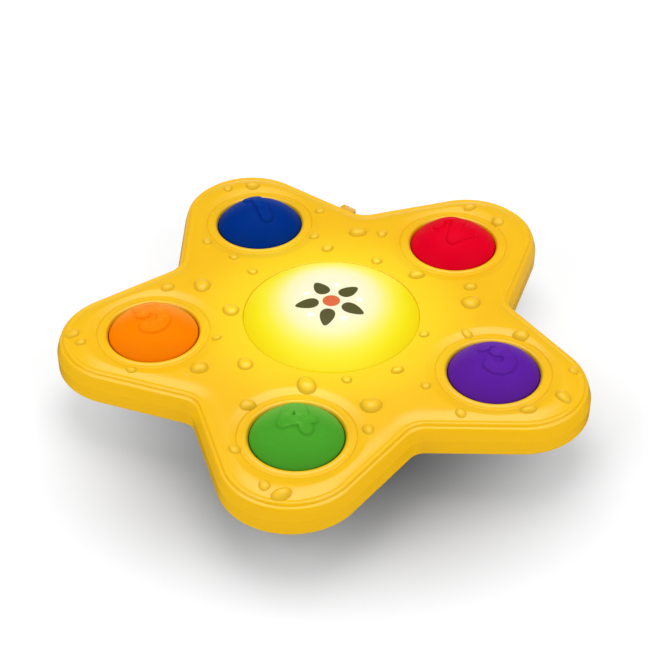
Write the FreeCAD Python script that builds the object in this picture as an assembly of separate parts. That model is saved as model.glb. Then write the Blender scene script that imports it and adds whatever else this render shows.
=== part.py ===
import FreeCAD, Part
import os
from math import acos, atan2, cos, degrees, hypot, radians, sin, sqrt

# Star-shaped light and sound toy on a suction cup, in millimetres.
# The origin is the centre of the cup's rim on the table, +Z is up and +Y runs along the arm of button 1.

# Star outline
ARMS = 5
ARM_STEP = 360.0 / ARMS
FIRST_ARM = 90.0
BUTTON_CIRCLE = 84.0
TIP_OFFSET = 11.9
TIP_RADIUS = 34.0
NOTCH_REACH = 88.2
NOTCH_RADIUS = 8.0

# Heights of the stack, from the table up: the buttons' rims lie a little lower than the flat top
CUP_HEIGHT = 15.0
PEDESTAL_DROP = 8.7
BODY_DEPTH = 14.5
TOP_RISE = 1.3
FLOOR = 2.2
TOP_WALL = 3.1
WALL = 2.8

# Outer edge of the top shell, from the bottom edge to the flat top
WALL_HEIGHT = 12.1
EDGE_DRAFT = 0.4
RIDGE_ROUND = 0.5
COVE_WIDTH = 2.5
COVE_SAG = 0.3
BEAD_WIDTH = 2.4
BEAD_RISE = 0.4
CREASE_DROP = 0.1
SHOULDER_WIDTH = 4.6
SHOULDER_BULGE = 0.15
CAVITY_BEVEL = 2.5

# Button openings in the top shell: a lip round the hole, a groove and a dish rising to the flat top
HOLE_RADIUS = 21.3
LIP_ROUND = 0.4
LIP_BULGE = 0.42
LIP_WIDTH = 2.9
LIP_RISE = 0.6
GROOVE_WIDTH = 1.4
GROOVE_DROP = 0.2
DISH_WIDTH = 5.7
COLLAR_WALL = 1.5
COLLAR_BOTTOM_GAP = 1.1

# Button caps
CAP_GAP = 0.35
CAP_RISE = 10.2
CAP_WALL = 1.8
CAP_EDGE_DROP = 0.4
FLANGE_WIDTH = 1.35
FLANGE_THICKNESS = 1.4
FLANGE_GAP = 0.3
FLANGE_REST_GAP = 0.1
BUTTON_TRAVEL = 3.0
CAP_POST_RADIUS = 3.5
NUMERAL_HEIGHT = 0.9
NUMERAL_STROKE = 5.8
NUMERAL_SINK = 1.0

# Keys under the caps
KEY_BOARD_RADIUS = 13.0
KEY_BOARD_THICKNESS = 1.2
KEY_PAD_HEIGHT = 0.5
KEY_PAD_RADIUS = 11.0
RUBBER_BASE_RADIUS = 8.0
RUBBER_TOP_RADIUS = 4.0
RUBBER_HEIGHT = 5.1
RUBBER_WALL = 1.0
RUBBER_TOP_GAP = 0.2

# Lens and its collar on the top shell
LENS_RADIUS = 41.5
LENS_GAP = 0.25
LENS_RISE = 8.7
LENS_WALL = 2.0
LENS_FLANGE_WIDTH = 3.0
LENS_FLANGE_THICKNESS = 1.6

# Light chamber and main board
BOARD_RADIUS = 33.0
BOARD_THICKNESS = 1.6
BOARD_POST_HEIGHT = 1.5
BOARD_POST_RADIUS = 2.6
BOARD_SCREW_CIRCLE = 27.6
BOARD_SCREWS = 3
REFLECTOR_WALL = 1.5
REFLECTOR_FOOT_RADIUS = 32.5
REFLECTOR_FLANGE = 1.2
REFLECTOR_NECK = 3.0
LED_RADIUS = 2.5
LED_HEIGHT = 5.6
LED_CIRCLE = 16.0
LED_COUNT = 5
CHIP_RADIUS = 6.0
CHIP_HEIGHT = 2.0

# Suction cup and what holds it
RIM_RADIUS = 37.0
RIM_WIDTH = 2.4
CUP_SHOULDER_RADIUS = 15.0
CUP_WALL = 3.0
CUP_LIP = 1.6
CUP_BOW = 1.5
CUP_BOW_SHARE = 0.42
HOLLOW_TOP_RADIUS = 6.0
HOLLOW_BOW = 2.0
HOLLOW_BOW_SHARE = 0.52
CUP_SEAT_GAP = 0.1
NECK_RADIUS = 9.0
NECK_GAP = 0.3
HEAD_RADIUS = 13.0
HEAD_THICKNESS = 3.0
TAB_WIDTH = 12.0
TAB_LENGTH = 9.0
TAB_THICKNESS = 2.2
PEDESTAL_RADIUS = 28.0
RETAINER_RADIUS = 21.5
RETAINER_THICKNESS = 1.5
RETAINER_SCREW_CIRCLE = 18.0
RETAINER_SCREWS = 3
RETAINER_GAP = 0.3
RETAINER_BOSS_RADIUS = 3.0

# Screws: head and shank, with the clearances they need
SHELL_SCREW_INSET = 11.9
SHELL_POST_RADIUS = 4.5
SHELL_BOSS_RADIUS = 4.0
SHELL_JOINT_HEIGHT = 5.5
SHELL_HEAD_DEPTH = 2.8
SHELL_SCREW_END_GAP = 0.8
SCREW_HEAD_RADIUS = 2.6
SCREW_HEAD_HEIGHT = 1.8
SCREW_SHANK_RADIUS = 1.4
SMALL_HEAD_RADIUS = 2.2
SMALL_HEAD_HEIGHT = 1.4
SMALL_SHANK_RADIUS = 1.1
HEAD_CLEARANCE = 0.4
SHANK_CLEARANCE = 0.3
THREAD_CLEARANCE = 0.05
BLIND_FLOOR = 0.8
CROSS_WIDTH = 0.8
CROSS_DEPTH = 0.8
CROSS_SHARE = 0.6

# Battery bay
CELL_RADIUS = 5.2
CELL_LENGTH = 43.5
CELL_NUB_RADIUS = 1.9
CELL_NUB_LENGTH = 1.0
CELL_GAP = 0.55
CELLS = 3
CONTACT_SPACE = 3.0
CONTACT_THICKNESS = 0.6
CONTACT_HEIGHT = 8.0
CONTACT_WIDTH = 7.0
SPRING_BASE_RADIUS = 3.4
SPRING_TOP_RADIUS = 2.0
BAY_DROP = 9.7
BAY_WALL = 1.8
BAY_ROOF = 1.6
BAY_TOP_GAP = 0.3
BAY_CENTRE_Y = -56.5
DOOR_THICKNESS = 2.2
DOOR_LEDGE = 1.2
DOOR_GAP = 0.25
DOOR_SCREW_INSET = 5.0
DOOR_END_LENGTH = 10.0
DOOR_PAD_RADIUS = 4.5
DOOR_PAD_HEIGHT = 1.9
DOOR_SCREW_LENGTH = 7.0
DOOR_RIBS = 5
DOOR_RIB_DEPTH = 0.5
DOOR_RIB_WIDTH = 1.2

# Loudspeaker between the arms of buttons 1 and 5, sized by the room between the main board and the rib
SPEAKER_BOARD_GAP = 7.6
SPEAKER_RIB_GAP = 0.35
SPEAKER_SIDE_GAP = 0.3
SPEAKER_RING_WALL = 1.5
SPEAKER_RING_HEIGHT = 3.0
GASKET_THICKNESS = 0.6
GASKET_WIDTH = 2.5
FRAME_THICKNESS = 1.0
FRAME_DEPTH = 3.4
MAGNET_RADIUS = 9.0
MAGNET_HEIGHT = 3.0
CONE_THICKNESS = 0.5
DUST_CAP_RADIUS = 5.0
GRILLE_HOLE_RADIUS = 1.3
GRILLE_RING_STEP = 4.6
GRILLE_RINGS = 3

# Slide switch in the flank of arm 1
SWITCH_ALONG = 8.0
KNOB_LENGTH = 8.4
KNOB_HEIGHT = 5.0
KNOB_REACH = 6.4
KNOB_DROP = 5.7
KNOB_TRAVEL = 3.0
KNOB_GAP = 0.3
KNOB_NECK = 4.0
KNOB_NECK_HEIGHT = 2.6
KNOB_GRIPS = 3
KNOB_GRIP_DEPTH = 0.5
SWITCH_BODY_DEPTH = 6.0
SWITCH_BODY_WALL = 1.2
SWITCH_FOOT_DEPTH = 3.0
SWITCH_RIB_GAP = 1.0

# Flat leads between the key boards and the main board
LEAD_WIDTH = 4.0
LEAD_THICKNESS = 0.8
LEAD_END_GAP = 0.25
LEAD_SWING = 10.0

# Locating rib of the bottom shell
PLATE_GAP = 0.15
RIB_THICKNESS = 1.5

# Bumps on the top: for each button, places beside its centre in X and Y, with width, length and turn
BUMP_RISE_SHARE = 0.24
BUMP_SINK_SHARE = 0.15
BUMPS = [
    [(-3.1, 33.3, 5.0, 5.0, 0), (9.4, 30.3, 7.5, 6.0, -20), (-30.6, -4.7, 5.0, 5.0, 0),
     (31.4, -5.2, 5.0, 5.0, 0), (-23.6, -22.2, 5.0, 5.0, 0), (19.4, -23.7, 5.0, 5.0, 0),
     (-46.6, -36.7, 8.5, 10.0, 0), (-20.1, -37.2, 5.0, 5.0, 0), (20.9, -36.2, 6.5, 5.0, 0),
     (40.4, -30.7, 9.0, 7.0, -25), (50.9, -36.7, 5.5, 5.5, 0)],
    [(-41.6, 2.3, 5.5, 5.5, 0), (21.9, 22.3, 6.5, 5.0, -10), (28.9, 5.8, 6.5, 7.5, 0),
     (-29.1, -16.2, 8.0, 6.5, 0), (-10.1, -35.7, 7.0, 5.5, 0), (-16.1, -46.7, 9.0, 9.5, 0)],
    [(-16.6, 36.3, 5.0, 5.0, 0), (1.9, 28.3, 5.0, 6.5, 0), (23.9, 16.3, 7.5, 7.5, 0),
     (-39.6, 18.8, 6.5, 5.0, 0), (-33.1, 3.8, 5.0, 5.0, 0), (-27.6, -18.7, 5.0, 6.0, 0),
     (0.4, -29.7, 7.5, 6.0, 0), (18.9, -29.2, 6.5, 8.5, 0), (32.9, -15.7, 5.0, 5.0, 0)],
    [(-11.6, 26.8, 7.5, 6.5, -20), (17.4, 27.3, 8.5, 12.0, 0), (35.4, 22.8, 5.0, 5.0, 0),
     (37.4, 2.3, 10.5, 9.0, 0), (29.4, -10.7, 5.5, 6.5, 0), (-28.1, 3.3, 5.5, 6.0, 0),
     (-25.6, -22.7, 5.0, 6.5, 0), (-22.1, -31.2, 9.0, 8.0, 0)],
    [(-35.1, 14.3, 7.0, 6.5, 0), (-33.6, 6.3, 5.5, 4.5, 0), (17.9, 27.3, 6.5, 6.0, -15),
     (38.4, -2.2, 7.5, 9.0, 0), (24.4, -18.2, 5.0, 3.5, 0), (8.9, -34.7, 9.0, 7.5, 0),
     (28.9, -41.2, 7.0, 9.0, 0), (-19.1, -21.7, 5.0, 5.0, 0)],
]

# Derived heights
EDGE_Z = CUP_HEIGHT + PEDESTAL_DROP
RIM_Z = EDGE_Z + BODY_DEPTH
TOP_Z = RIM_Z + TOP_RISE
FLOOR_Z = EDGE_Z + FLOOR
UNDERSIDE_Z = TOP_Z - TOP_WALL
PEDESTAL_Z = CUP_HEIGHT
SHELL_JOINT_Z = EDGE_Z + SHELL_JOINT_HEIGHT

# Derived places on the top face
SHELL_SCREW_CIRCLE = BUTTON_CIRCLE + TIP_OFFSET + TIP_RADIUS - SHELL_SCREW_INSET
CREASE_INSET = RIDGE_ROUND + COVE_WIDTH + BEAD_WIDTH
SHOULDER_INSET = CREASE_INSET + SHOULDER_WIDTH
GROOVE_RADIUS = HOLE_RADIUS + LIP_WIDTH + GROOVE_WIDTH
DISH_RADIUS = GROOVE_RADIUS + DISH_WIDTH
GROOVE_Z = RIM_Z + LIP_RISE - GROOVE_DROP

# Derived sizes of the button stack
CAP_RADIUS = HOLE_RADIUS - CAP_GAP
CAP_EDGE_Z = RIM_Z - CAP_EDGE_DROP
CAP_SAG = CAP_RISE + CAP_EDGE_DROP
CAP_SPHERE = (CAP_RADIUS ** 2 + CAP_SAG ** 2) / (2 * CAP_SAG)
CAP_SPHERE_Z = RIM_Z + CAP_RISE - CAP_SPHERE
FLANGE_RADIUS = CAP_RADIUS + FLANGE_WIDTH
FLANGE_TOP_Z = UNDERSIDE_Z - FLANGE_REST_GAP
FLANGE_BOTTOM_Z = FLANGE_TOP_Z - FLANGE_THICKNESS
KEY_BOARD_Z = FLOOR_Z + KEY_PAD_HEIGHT
KEY_TOP_Z = KEY_BOARD_Z + KEY_BOARD_THICKNESS
RUBBER_TOP_Z = KEY_TOP_Z + RUBBER_HEIGHT
CAP_POST_Z = RUBBER_TOP_Z + RUBBER_TOP_GAP
COLLAR_RADIUS = FLANGE_RADIUS + FLANGE_GAP
COLLAR_Z = FLANGE_BOTTOM_Z - BUTTON_TRAVEL - COLLAR_BOTTOM_GAP

# Derived sizes of the light
LENS_TOP_Z = TOP_Z
LENS_SPHERE = (LENS_RADIUS ** 2 + LENS_RISE ** 2) / (2 * LENS_RISE)
LENS_SPHERE_Z = LENS_TOP_Z + LENS_RISE - LENS_SPHERE
LENS_FLANGE_RADIUS = LENS_RADIUS + LENS_FLANGE_WIDTH
LENS_FLANGE_Z = UNDERSIDE_Z - LENS_FLANGE_THICKNESS
BOARD_Z = FLOOR_Z + BOARD_POST_HEIGHT
BOARD_TOP_Z = BOARD_Z + BOARD_THICKNESS

# Derived sizes of the cup's seat
CUP_BODY_TOP_Z = PEDESTAL_Z - CUP_SEAT_GAP
HEAD_Z = PEDESTAL_Z + FLOOR
RETAINER_Z = HEAD_Z + HEAD_THICKNESS + RETAINER_GAP

# Derived sizes of the battery bay
BAY_HALF_X = CELL_LENGTH / 2 + CELL_NUB_LENGTH / 2 + CONTACT_SPACE / 2 + CONTACT_THICKNESS
BAY_HALF_Y = CELLS * CELL_RADIUS + (CELLS + 1) * CELL_GAP / 2
BAY_Z = EDGE_Z - BAY_DROP
DOOR_TOP_Z = BAY_Z + DOOR_THICKNESS
CELL_Z = DOOR_TOP_Z + BAY_TOP_GAP + CELL_RADIUS
BAY_CEILING_Z = CELL_Z + CELL_RADIUS + BAY_TOP_GAP
BAY_TOP_Z = BAY_CEILING_Z + BAY_ROOF
DOOR_HALF_Y = BAY_HALF_Y + DOOR_LEDGE
DOOR_LOW_X = -(BAY_HALF_X + DOOR_LEDGE)
DOOR_HIGH_X = BAY_HALF_X + DOOR_LEDGE + DOOR_END_LENGTH
DOOR_SCREW_X = DOOR_HIGH_X - DOOR_SCREW_INSET

# Derived sizes of the speaker
SPEAKER_ANGLE = FIRST_ARM + ARM_STEP / 2
SPEAKER_Z = FLOOR_Z + GASKET_THICKNESS
SPEAKER_SEAT = SPEAKER_SIDE_GAP + SPEAKER_RING_WALL
SPEAKER_REACH = NOTCH_REACH - WALL - PLATE_GAP - RIB_THICKNESS - SPEAKER_RIB_GAP
SPEAKER_RADIUS = (SPEAKER_REACH - BOARD_RADIUS - SPEAKER_BOARD_GAP) / 2 - SPEAKER_SEAT
SPEAKER_CIRCLE = SPEAKER_REACH - SPEAKER_SEAT - SPEAKER_RADIUS

# How far cutting and joining shapes reach past the faces they meet
OVERLAP = 1.0


def vec(x, y, z=0.0):
    return FreeCAD.Vector(x, y, z)


def polar(radius, angle, z=0.0):
    """Point at a radius and an angle in degrees about the cup's axis."""
    return vec(radius * cos(radians(angle)), radius * sin(radians(angle)), z)


def arm_angle(arm):
    """Direction of an arm; arm 0 carries button 1 and the others follow clockwise."""
    return FIRST_ARM - arm * ARM_STEP


def arm_angles():
    return [arm_angle(arm) for arm in range(ARMS)]


def button_centre(arm, z=0.0):
    return polar(BUTTON_CIRCLE, arm_angle(arm), z)


def disc(radius, low, high, at=None):
    """Upright cylinder between two heights."""
    at = at or vec(0, 0)
    return Part.makeCylinder(radius, high - low, vec(at.x, at.y, low))


def ring(outer, inner, low, high, at=None):
    """Upright tube between two heights."""
    return disc(outer, low, high, at).cut(disc(inner, low - OVERLAP, high + OVERLAP, at))


def block(x_range, y_range, z_range):
    """Box from its three ranges."""
    size = [high - low for low, high in (x_range, y_range, z_range)]
    return Part.makeBox(*size, vec(x_range[0], y_range[0], z_range[0]))


def lathe(start, steps, at=None):
    """Solid of revolution; a step is a point (radius, height), or two points for an arc through the first."""
    at = at or vec(0, 0)
    edges = []
    here = vec(start[0], 0, start[1])
    for step in list(steps) + [start]:
        if isinstance(step[0], tuple):
            middle, end = [vec(r, 0, z) for r, z in step]
            edges.append(Part.Arc(here, middle, end).toShape())
        else:
            end = vec(step[0], 0, step[1])
            if here.distanceToPoint(end) < 1e-6:
                continue
            edges.append(Part.makeLine(here, end))
        here = end
    face = Part.Face(Part.Wire(edges))
    solid = face.revolve(vec(0, 0), vec(0, 0, 1), 360)
    solid = Part.Solid(solid) if solid.ShapeType == "Shell" else solid
    if solid.Volume < 0:
        solid.reverse()
    solid.translate(vec(at.x, at.y))
    return solid


def fuse(shapes):
    joined = shapes[0].fuse(shapes[1:]) if len(shapes) > 1 else shapes[0]
    return joined.removeSplitter()


def sphere_sag(radius, distance):
    """Height of a sphere's surface over its centre at a distance from the axis."""
    return sqrt(radius ** 2 - distance ** 2)


def flank_normal():
    """Angle between an arm's axis and the outward normal of its straight flank, in radians."""
    notch_centre = NOTCH_REACH + NOTCH_RADIUS
    half = radians(ARM_STEP / 2)
    across = notch_centre * sin(half)
    along = notch_centre * cos(half) - (BUTTON_CIRCLE + TIP_OFFSET)
    distance = hypot(along, across)
    return atan2(across, along) - acos((TIP_RADIUS + NOTCH_RADIUS) / distance)


def star_wire(inset, z):
    """Closed star of tangent arcs and straight flanks, drawn in by an inset."""
    tip_centre = BUTTON_CIRCLE + TIP_OFFSET
    notch_centre = NOTCH_REACH + NOTCH_RADIUS
    tip_radius = TIP_RADIUS - inset
    notch_radius = NOTCH_RADIUS + inset
    normal = degrees(flank_normal())
    edges = []
    for angle in [FIRST_ARM + arm * ARM_STEP for arm in range(ARMS)]:
        tip = polar(tip_centre, angle, z)
        before = polar(notch_centre, angle - ARM_STEP / 2, z)
        after = polar(notch_centre, angle + ARM_STEP / 2, z)
        flank_in = before - polar(notch_radius, angle - normal)
        tip_in = tip + polar(tip_radius, angle - normal)
        tip_end = tip + polar(tip_radius, angle)
        tip_out = tip + polar(tip_radius, angle + normal)
        flank_out = after - polar(notch_radius, angle + normal)
        notch_low = polar(notch_centre - notch_radius, angle + ARM_STEP / 2, z)
        next_in = after - polar(notch_radius, angle + ARM_STEP - normal)
        edges.append(Part.makeLine(flank_in, tip_in))
        edges.append(Part.Arc(tip_in, tip_end, tip_out).toShape())
        edges.append(Part.makeLine(tip_out, flank_out))
        edges.append(Part.Arc(flank_out, notch_low, next_in).toShape())
    return Part.Wire(edges)


def star_stack(levels):
    """Solid through star outlines; each level is (inset, height)."""
    wires = [star_wire(inset, z) for inset, z in levels]
    return Part.makeLoft(wires, True, True)


def shoulder_levels():
    """Soft shoulder between the crease inside the bead and the flat top."""
    crease_z = RIM_Z + BEAD_RISE - CREASE_DROP
    return [
        (CREASE_INSET, crease_z),
        (CREASE_INSET + SHOULDER_WIDTH / 2, (crease_z + TOP_Z) / 2 + SHOULDER_BULGE),
        (SHOULDER_INSET, TOP_Z),
    ]


def edge_levels():
    """Outer edge from the bottom up: wall, ridge, hollow cove, bead, crease and soft shoulder."""
    wall_top = EDGE_Z + WALL_HEIGHT
    ridge = wall_top + RIDGE_ROUND
    cove_inset = RIDGE_ROUND + COVE_WIDTH
    return [
        (EDGE_DRAFT, EDGE_Z),
        (0.0, wall_top),
        (RIDGE_ROUND, ridge),
        (RIDGE_ROUND + COVE_WIDTH / 2, (ridge + RIM_Z) / 2 - COVE_SAG),
        (cove_inset, RIM_Z),
        (cove_inset + BEAD_WIDTH / 2, RIM_Z + BEAD_RISE),
    ] + shoulder_levels()


def cavity_levels():
    """Inside of the top shell, which follows the outer edge."""
    return [
        (WALL, EDGE_Z - OVERLAP),
        (WALL, EDGE_Z + WALL_HEIGHT - WALL),
        (WALL + CAVITY_BEVEL, UNDERSIDE_Z - TOP_WALL / 2),
        (SHOULDER_INSET, UNDERSIDE_Z),
    ]


def inset_at(arm, x, y):
    """How far inside the star's outline a place on an arm lies."""
    axis = polar(1.0, arm_angle(arm))
    along = x * axis.x + y * axis.y - (BUTTON_CIRCLE + TIP_OFFSET)
    across = abs(y * axis.x - x * axis.y)
    normal = flank_normal()
    if atan2(across, along) < normal:
        return TIP_RADIUS - hypot(along, across)
    return TIP_RADIUS - along * cos(normal) - across * sin(normal)


def top_height(arm, x, y):
    """Height of the top face at a place on an arm: flat, dished round the button and lower at the edge."""
    inset = inset_at(arm, x, y)
    levels = shoulder_levels()
    height = TOP_Z
    for (low_inset, low_z), (high_inset, high_z) in zip(levels, levels[1:]):
        if low_inset <= inset < high_inset:
            height = low_z + (high_z - low_z) * (inset - low_inset) / (high_inset - low_inset)
    centre = button_centre(arm)
    from_button = hypot(x - centre.x, y - centre.y)
    if GROOVE_RADIUS < from_button < DISH_RADIUS:
        dish = TOP_Z - (TOP_Z - GROOVE_Z) * (DISH_RADIUS - from_button) / DISH_WIDTH
        height = min(height, dish)
    return height


def bump(x, y, surface_z, width, length, turn):
    """Low oval dome sunk a little into the top face."""
    rise = BUMP_RISE_SHARE * width
    dome = Part.makeSphere(1.0)
    scale = FreeCAD.Matrix()
    scale.scale(width / 2, length / 2, rise * (1 + BUMP_SINK_SHARE))
    dome = dome.transformGeometry(scale)
    dome.rotate(vec(0, 0), vec(0, 0, 1), turn)
    dome.translate(vec(x, y, surface_z - BUMP_SINK_SHARE * rise))
    return dome


def bumps():
    made = []
    for arm, places in enumerate(BUMPS):
        centre = button_centre(arm)
        for dx, dy, width, length, turn in places:
            x = centre.x + dx
            y = centre.y + dy
            made.append(bump(x, y, top_height(arm, x, y), width, length, turn))
    return made


def button_opening(at):
    """What is cut from the top for a button, over a lipped hole, a groove and a dish."""
    over = TOP_Z + OVERLAP
    lip_top = RIM_Z + LIP_RISE
    slope = (TOP_Z - GROOVE_Z) / DISH_WIDTH
    return lathe(
        (0.0, UNDERSIDE_Z - OVERLAP),
        [(HOLE_RADIUS, UNDERSIDE_Z - OVERLAP), (HOLE_RADIUS, RIM_Z - LIP_ROUND),
         ((HOLE_RADIUS + LIP_WIDTH / 3, RIM_Z + LIP_BULGE), (HOLE_RADIUS + LIP_WIDTH, lip_top)),
         (GROOVE_RADIUS, GROOVE_Z), (DISH_RADIUS + OVERLAP, TOP_Z + OVERLAP * slope),
         (DISH_RADIUS + OVERLAP, over), (0.0, over)], at)


def place_on_flank(shape):
    """Moves a shape from the switch's own frame to the flank of arm 1.

    In its own frame x points out of the wall, y runs along the flank and the wall's face is at x = 0.
    """
    normal = degrees(flank_normal())
    tip = BUTTON_CIRCLE + TIP_OFFSET
    turn = FIRST_ARM - normal
    notch_centre = NOTCH_REACH + NOTCH_RADIUS
    start = polar(notch_centre, FIRST_ARM - ARM_STEP / 2) - polar(NOTCH_RADIUS, turn)
    end = polar(tip, FIRST_ARM) + polar(TIP_RADIUS, turn)
    along = (end - start).normalize()
    middle = start + along * SWITCH_ALONG
    placed = shape.copy()
    placed.rotate(vec(0, 0), vec(0, 0, 1), turn)
    placed.translate(middle)
    return placed


def switch_slot():
    """Slot through the wall for the knob's neck."""
    half = KNOB_NECK / 2 + KNOB_TRAVEL + KNOB_GAP
    middle = RIM_Z - KNOB_DROP - KNOB_HEIGHT / 2
    rise = KNOB_NECK_HEIGHT / 2 + KNOB_GAP
    return place_on_flank(block((-WALL - OVERLAP, OVERLAP), (-half, half), (middle - rise, middle + rise)))


def make_top_shell():
    """Star-shaped lid with its edge, button openings, lens hole, collars, screw bosses and bumps."""
    shell = star_stack(edge_levels()).cut(star_stack(cavity_levels()))
    added = []
    cuts = [disc(LENS_RADIUS + LENS_GAP, UNDERSIDE_Z - OVERLAP, TOP_Z + OVERLAP)]
    for arm in range(ARMS):
        at = button_centre(arm)
        added.append(ring(COLLAR_RADIUS + COLLAR_WALL, COLLAR_RADIUS, COLLAR_Z, UNDERSIDE_Z + OVERLAP, at))
        cuts.append(button_opening(at))
    for angle in arm_angles():
        at = polar(SHELL_SCREW_CIRCLE, angle)
        added.append(disc(SHELL_BOSS_RADIUS, SHELL_JOINT_Z, UNDERSIDE_Z + OVERLAP, at))
        cuts.append(disc(SCREW_SHANK_RADIUS + THREAD_CLEARANCE, SHELL_JOINT_Z - OVERLAP, UNDERSIDE_Z, at))
    cuts.append(switch_slot())
    shell = fuse([shell] + added).cut(Part.makeCompound(cuts))
    return shell.fuse(bumps())


def bay_outline(half_x, half_y, low, high, right=0.0):
    """Upright box about the battery bay's centre, longer by right at its +X end."""
    return block((-half_x, half_x + right), (BAY_CENTRE_Y - half_y, BAY_CENTRE_Y + half_y), (low, high))


def grille_holes():
    """Rings of small round holes under the loudspeaker."""
    centre = polar(SPEAKER_CIRCLE, SPEAKER_ANGLE)
    holes = [disc(GRILLE_HOLE_RADIUS, EDGE_Z - OVERLAP, FLOOR_Z + OVERLAP, centre)]
    for ring_number in range(1, GRILLE_RINGS + 1):
        count = 6 * ring_number
        for k in range(count):
            at = centre + polar(ring_number * GRILLE_RING_STEP, k * 360.0 / count)
            holes.append(disc(GRILLE_HOLE_RADIUS, EDGE_Z - OVERLAP, FLOOR_Z + OVERLAP, at))
    return holes


def circle_places(circle, count, start=FIRST_ARM):
    return [polar(circle, start + k * 360.0 / count) for k in range(count)]


def make_bottom_shell():
    """Floor plate with its rib, cup pedestal, battery bay, speaker ring, posts and seats."""
    outline = WALL + PLATE_GAP
    plate = star_stack([(outline, EDGE_Z), (outline, FLOOR_Z)])
    rib_top = SHELL_JOINT_Z
    rib = star_stack([(outline, EDGE_Z), (outline, rib_top)])
    rib_inside = outline + RIB_THICKNESS
    rib = rib.cut(star_stack([(rib_inside, EDGE_Z), (rib_inside, rib_top + OVERLAP)]))
    slot_half = KNOB_LENGTH / 2 + KNOB_TRAVEL + SWITCH_RIB_GAP
    rib_gap = place_on_flank(block((-rib_inside - OVERLAP, 0), (-slot_half, slot_half),
                                   (FLOOR_Z, rib_top + OVERLAP)))
    rib = rib.cut(rib_gap)
    pedestal_bore = PEDESTAL_RADIUS - FLOOR
    added = [rib, disc(PEDESTAL_RADIUS, PEDESTAL_Z, FLOOR_Z)]
    pedestal_hollow = disc(pedestal_bore, HEAD_Z, FLOOR_Z + OVERLAP)
    cuts = [disc(NECK_RADIUS + NECK_GAP, PEDESTAL_Z - OVERLAP, HEAD_Z + OVERLAP)]
    added.append(bay_outline(BAY_HALF_X + BAY_WALL, BAY_HALF_Y + BAY_WALL, EDGE_Z, BAY_TOP_Z))
    added.append(bay_outline(BAY_HALF_X + DOOR_LEDGE + BAY_WALL, DOOR_HALF_Y + BAY_WALL, BAY_Z, FLOOR_Z,
                             DOOR_END_LENGTH))
    cuts.append(bay_outline(BAY_HALF_X, BAY_HALF_Y, BAY_Z - OVERLAP, BAY_CEILING_Z))
    cuts.append(bay_outline(-DOOR_LOW_X, DOOR_HALF_Y, BAY_Z - OVERLAP, DOOR_TOP_Z, DOOR_END_LENGTH))
    screw_at = vec(DOOR_SCREW_X, BAY_CENTRE_Y)
    pad_top = DOOR_TOP_Z + DOOR_PAD_HEIGHT + DOOR_GAP
    cuts.append(disc(DOOR_PAD_RADIUS + DOOR_GAP, DOOR_TOP_Z - OVERLAP, pad_top, screw_at))
    cuts.append(disc(SCREW_SHANK_RADIUS + THREAD_CLEARANCE, DOOR_TOP_Z, FLOOR_Z - BLIND_FLOOR, screw_at))
    speaker_at = polar(SPEAKER_CIRCLE, SPEAKER_ANGLE)
    speaker_bore = SPEAKER_RADIUS + SPEAKER_SIDE_GAP
    added.append(ring(speaker_bore + SPEAKER_RING_WALL, speaker_bore, EDGE_Z, FLOOR_Z + SPEAKER_RING_HEIGHT,
                      speaker_at))
    cuts += grille_holes()
    for arm in range(ARMS):
        added.append(disc(KEY_PAD_RADIUS, EDGE_Z, KEY_BOARD_Z, button_centre(arm)))
    for at in circle_places(SHELL_SCREW_CIRCLE, ARMS):
        added.append(disc(SHELL_POST_RADIUS, EDGE_Z, SHELL_JOINT_Z, at))
        cuts.append(disc(SCREW_HEAD_RADIUS + HEAD_CLEARANCE, EDGE_Z - OVERLAP, EDGE_Z + SHELL_HEAD_DEPTH, at))
        cuts.append(disc(SCREW_SHANK_RADIUS + SHANK_CLEARANCE, EDGE_Z, SHELL_JOINT_Z + OVERLAP, at))
    for at in circle_places(BOARD_SCREW_CIRCLE, BOARD_SCREWS):
        added.append(disc(BOARD_POST_RADIUS, EDGE_Z, BOARD_Z, at))
        cuts.append(disc(SMALL_SHANK_RADIUS + THREAD_CLEARANCE, EDGE_Z + BLIND_FLOOR, BOARD_Z + OVERLAP, at))
    posts = []
    for at in circle_places(RETAINER_SCREW_CIRCLE, RETAINER_SCREWS):
        posts.append(disc(RETAINER_BOSS_RADIUS, HEAD_Z - OVERLAP, RETAINER_Z, at))
        cuts.append(disc(SMALL_SHANK_RADIUS + THREAD_CLEARANCE, PEDESTAL_Z + BLIND_FLOOR,
                         RETAINER_Z + OVERLAP, at))
    shell = fuse([plate] + added).cut(pedestal_hollow)
    return fuse([shell] + posts).cut(Part.makeCompound(cuts))


def make_light_lens():
    """Domed translucent lens with a flange under the top wall."""
    inner = LENS_RADIUS - LENS_WALL
    inner_sphere = LENS_SPHERE - LENS_WALL
    apex = LENS_TOP_Z + LENS_RISE
    half = LENS_RADIUS / 2
    outer_middle = LENS_SPHERE_Z + sphere_sag(LENS_SPHERE, half)
    inner_edge = LENS_SPHERE_Z + sphere_sag(inner_sphere, inner)
    inner_middle = LENS_SPHERE_Z + sphere_sag(inner_sphere, inner / 2)
    return lathe(
        (0.0, apex),
        [((half, outer_middle), (LENS_RADIUS, LENS_TOP_Z)),
         (LENS_RADIUS, UNDERSIDE_Z), (LENS_FLANGE_RADIUS, UNDERSIDE_Z),
         (LENS_FLANGE_RADIUS, LENS_FLANGE_Z), (inner, LENS_FLANGE_Z), (inner, inner_edge),
         ((inner / 2, inner_middle), (0.0, apex - LENS_WALL))])


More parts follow.
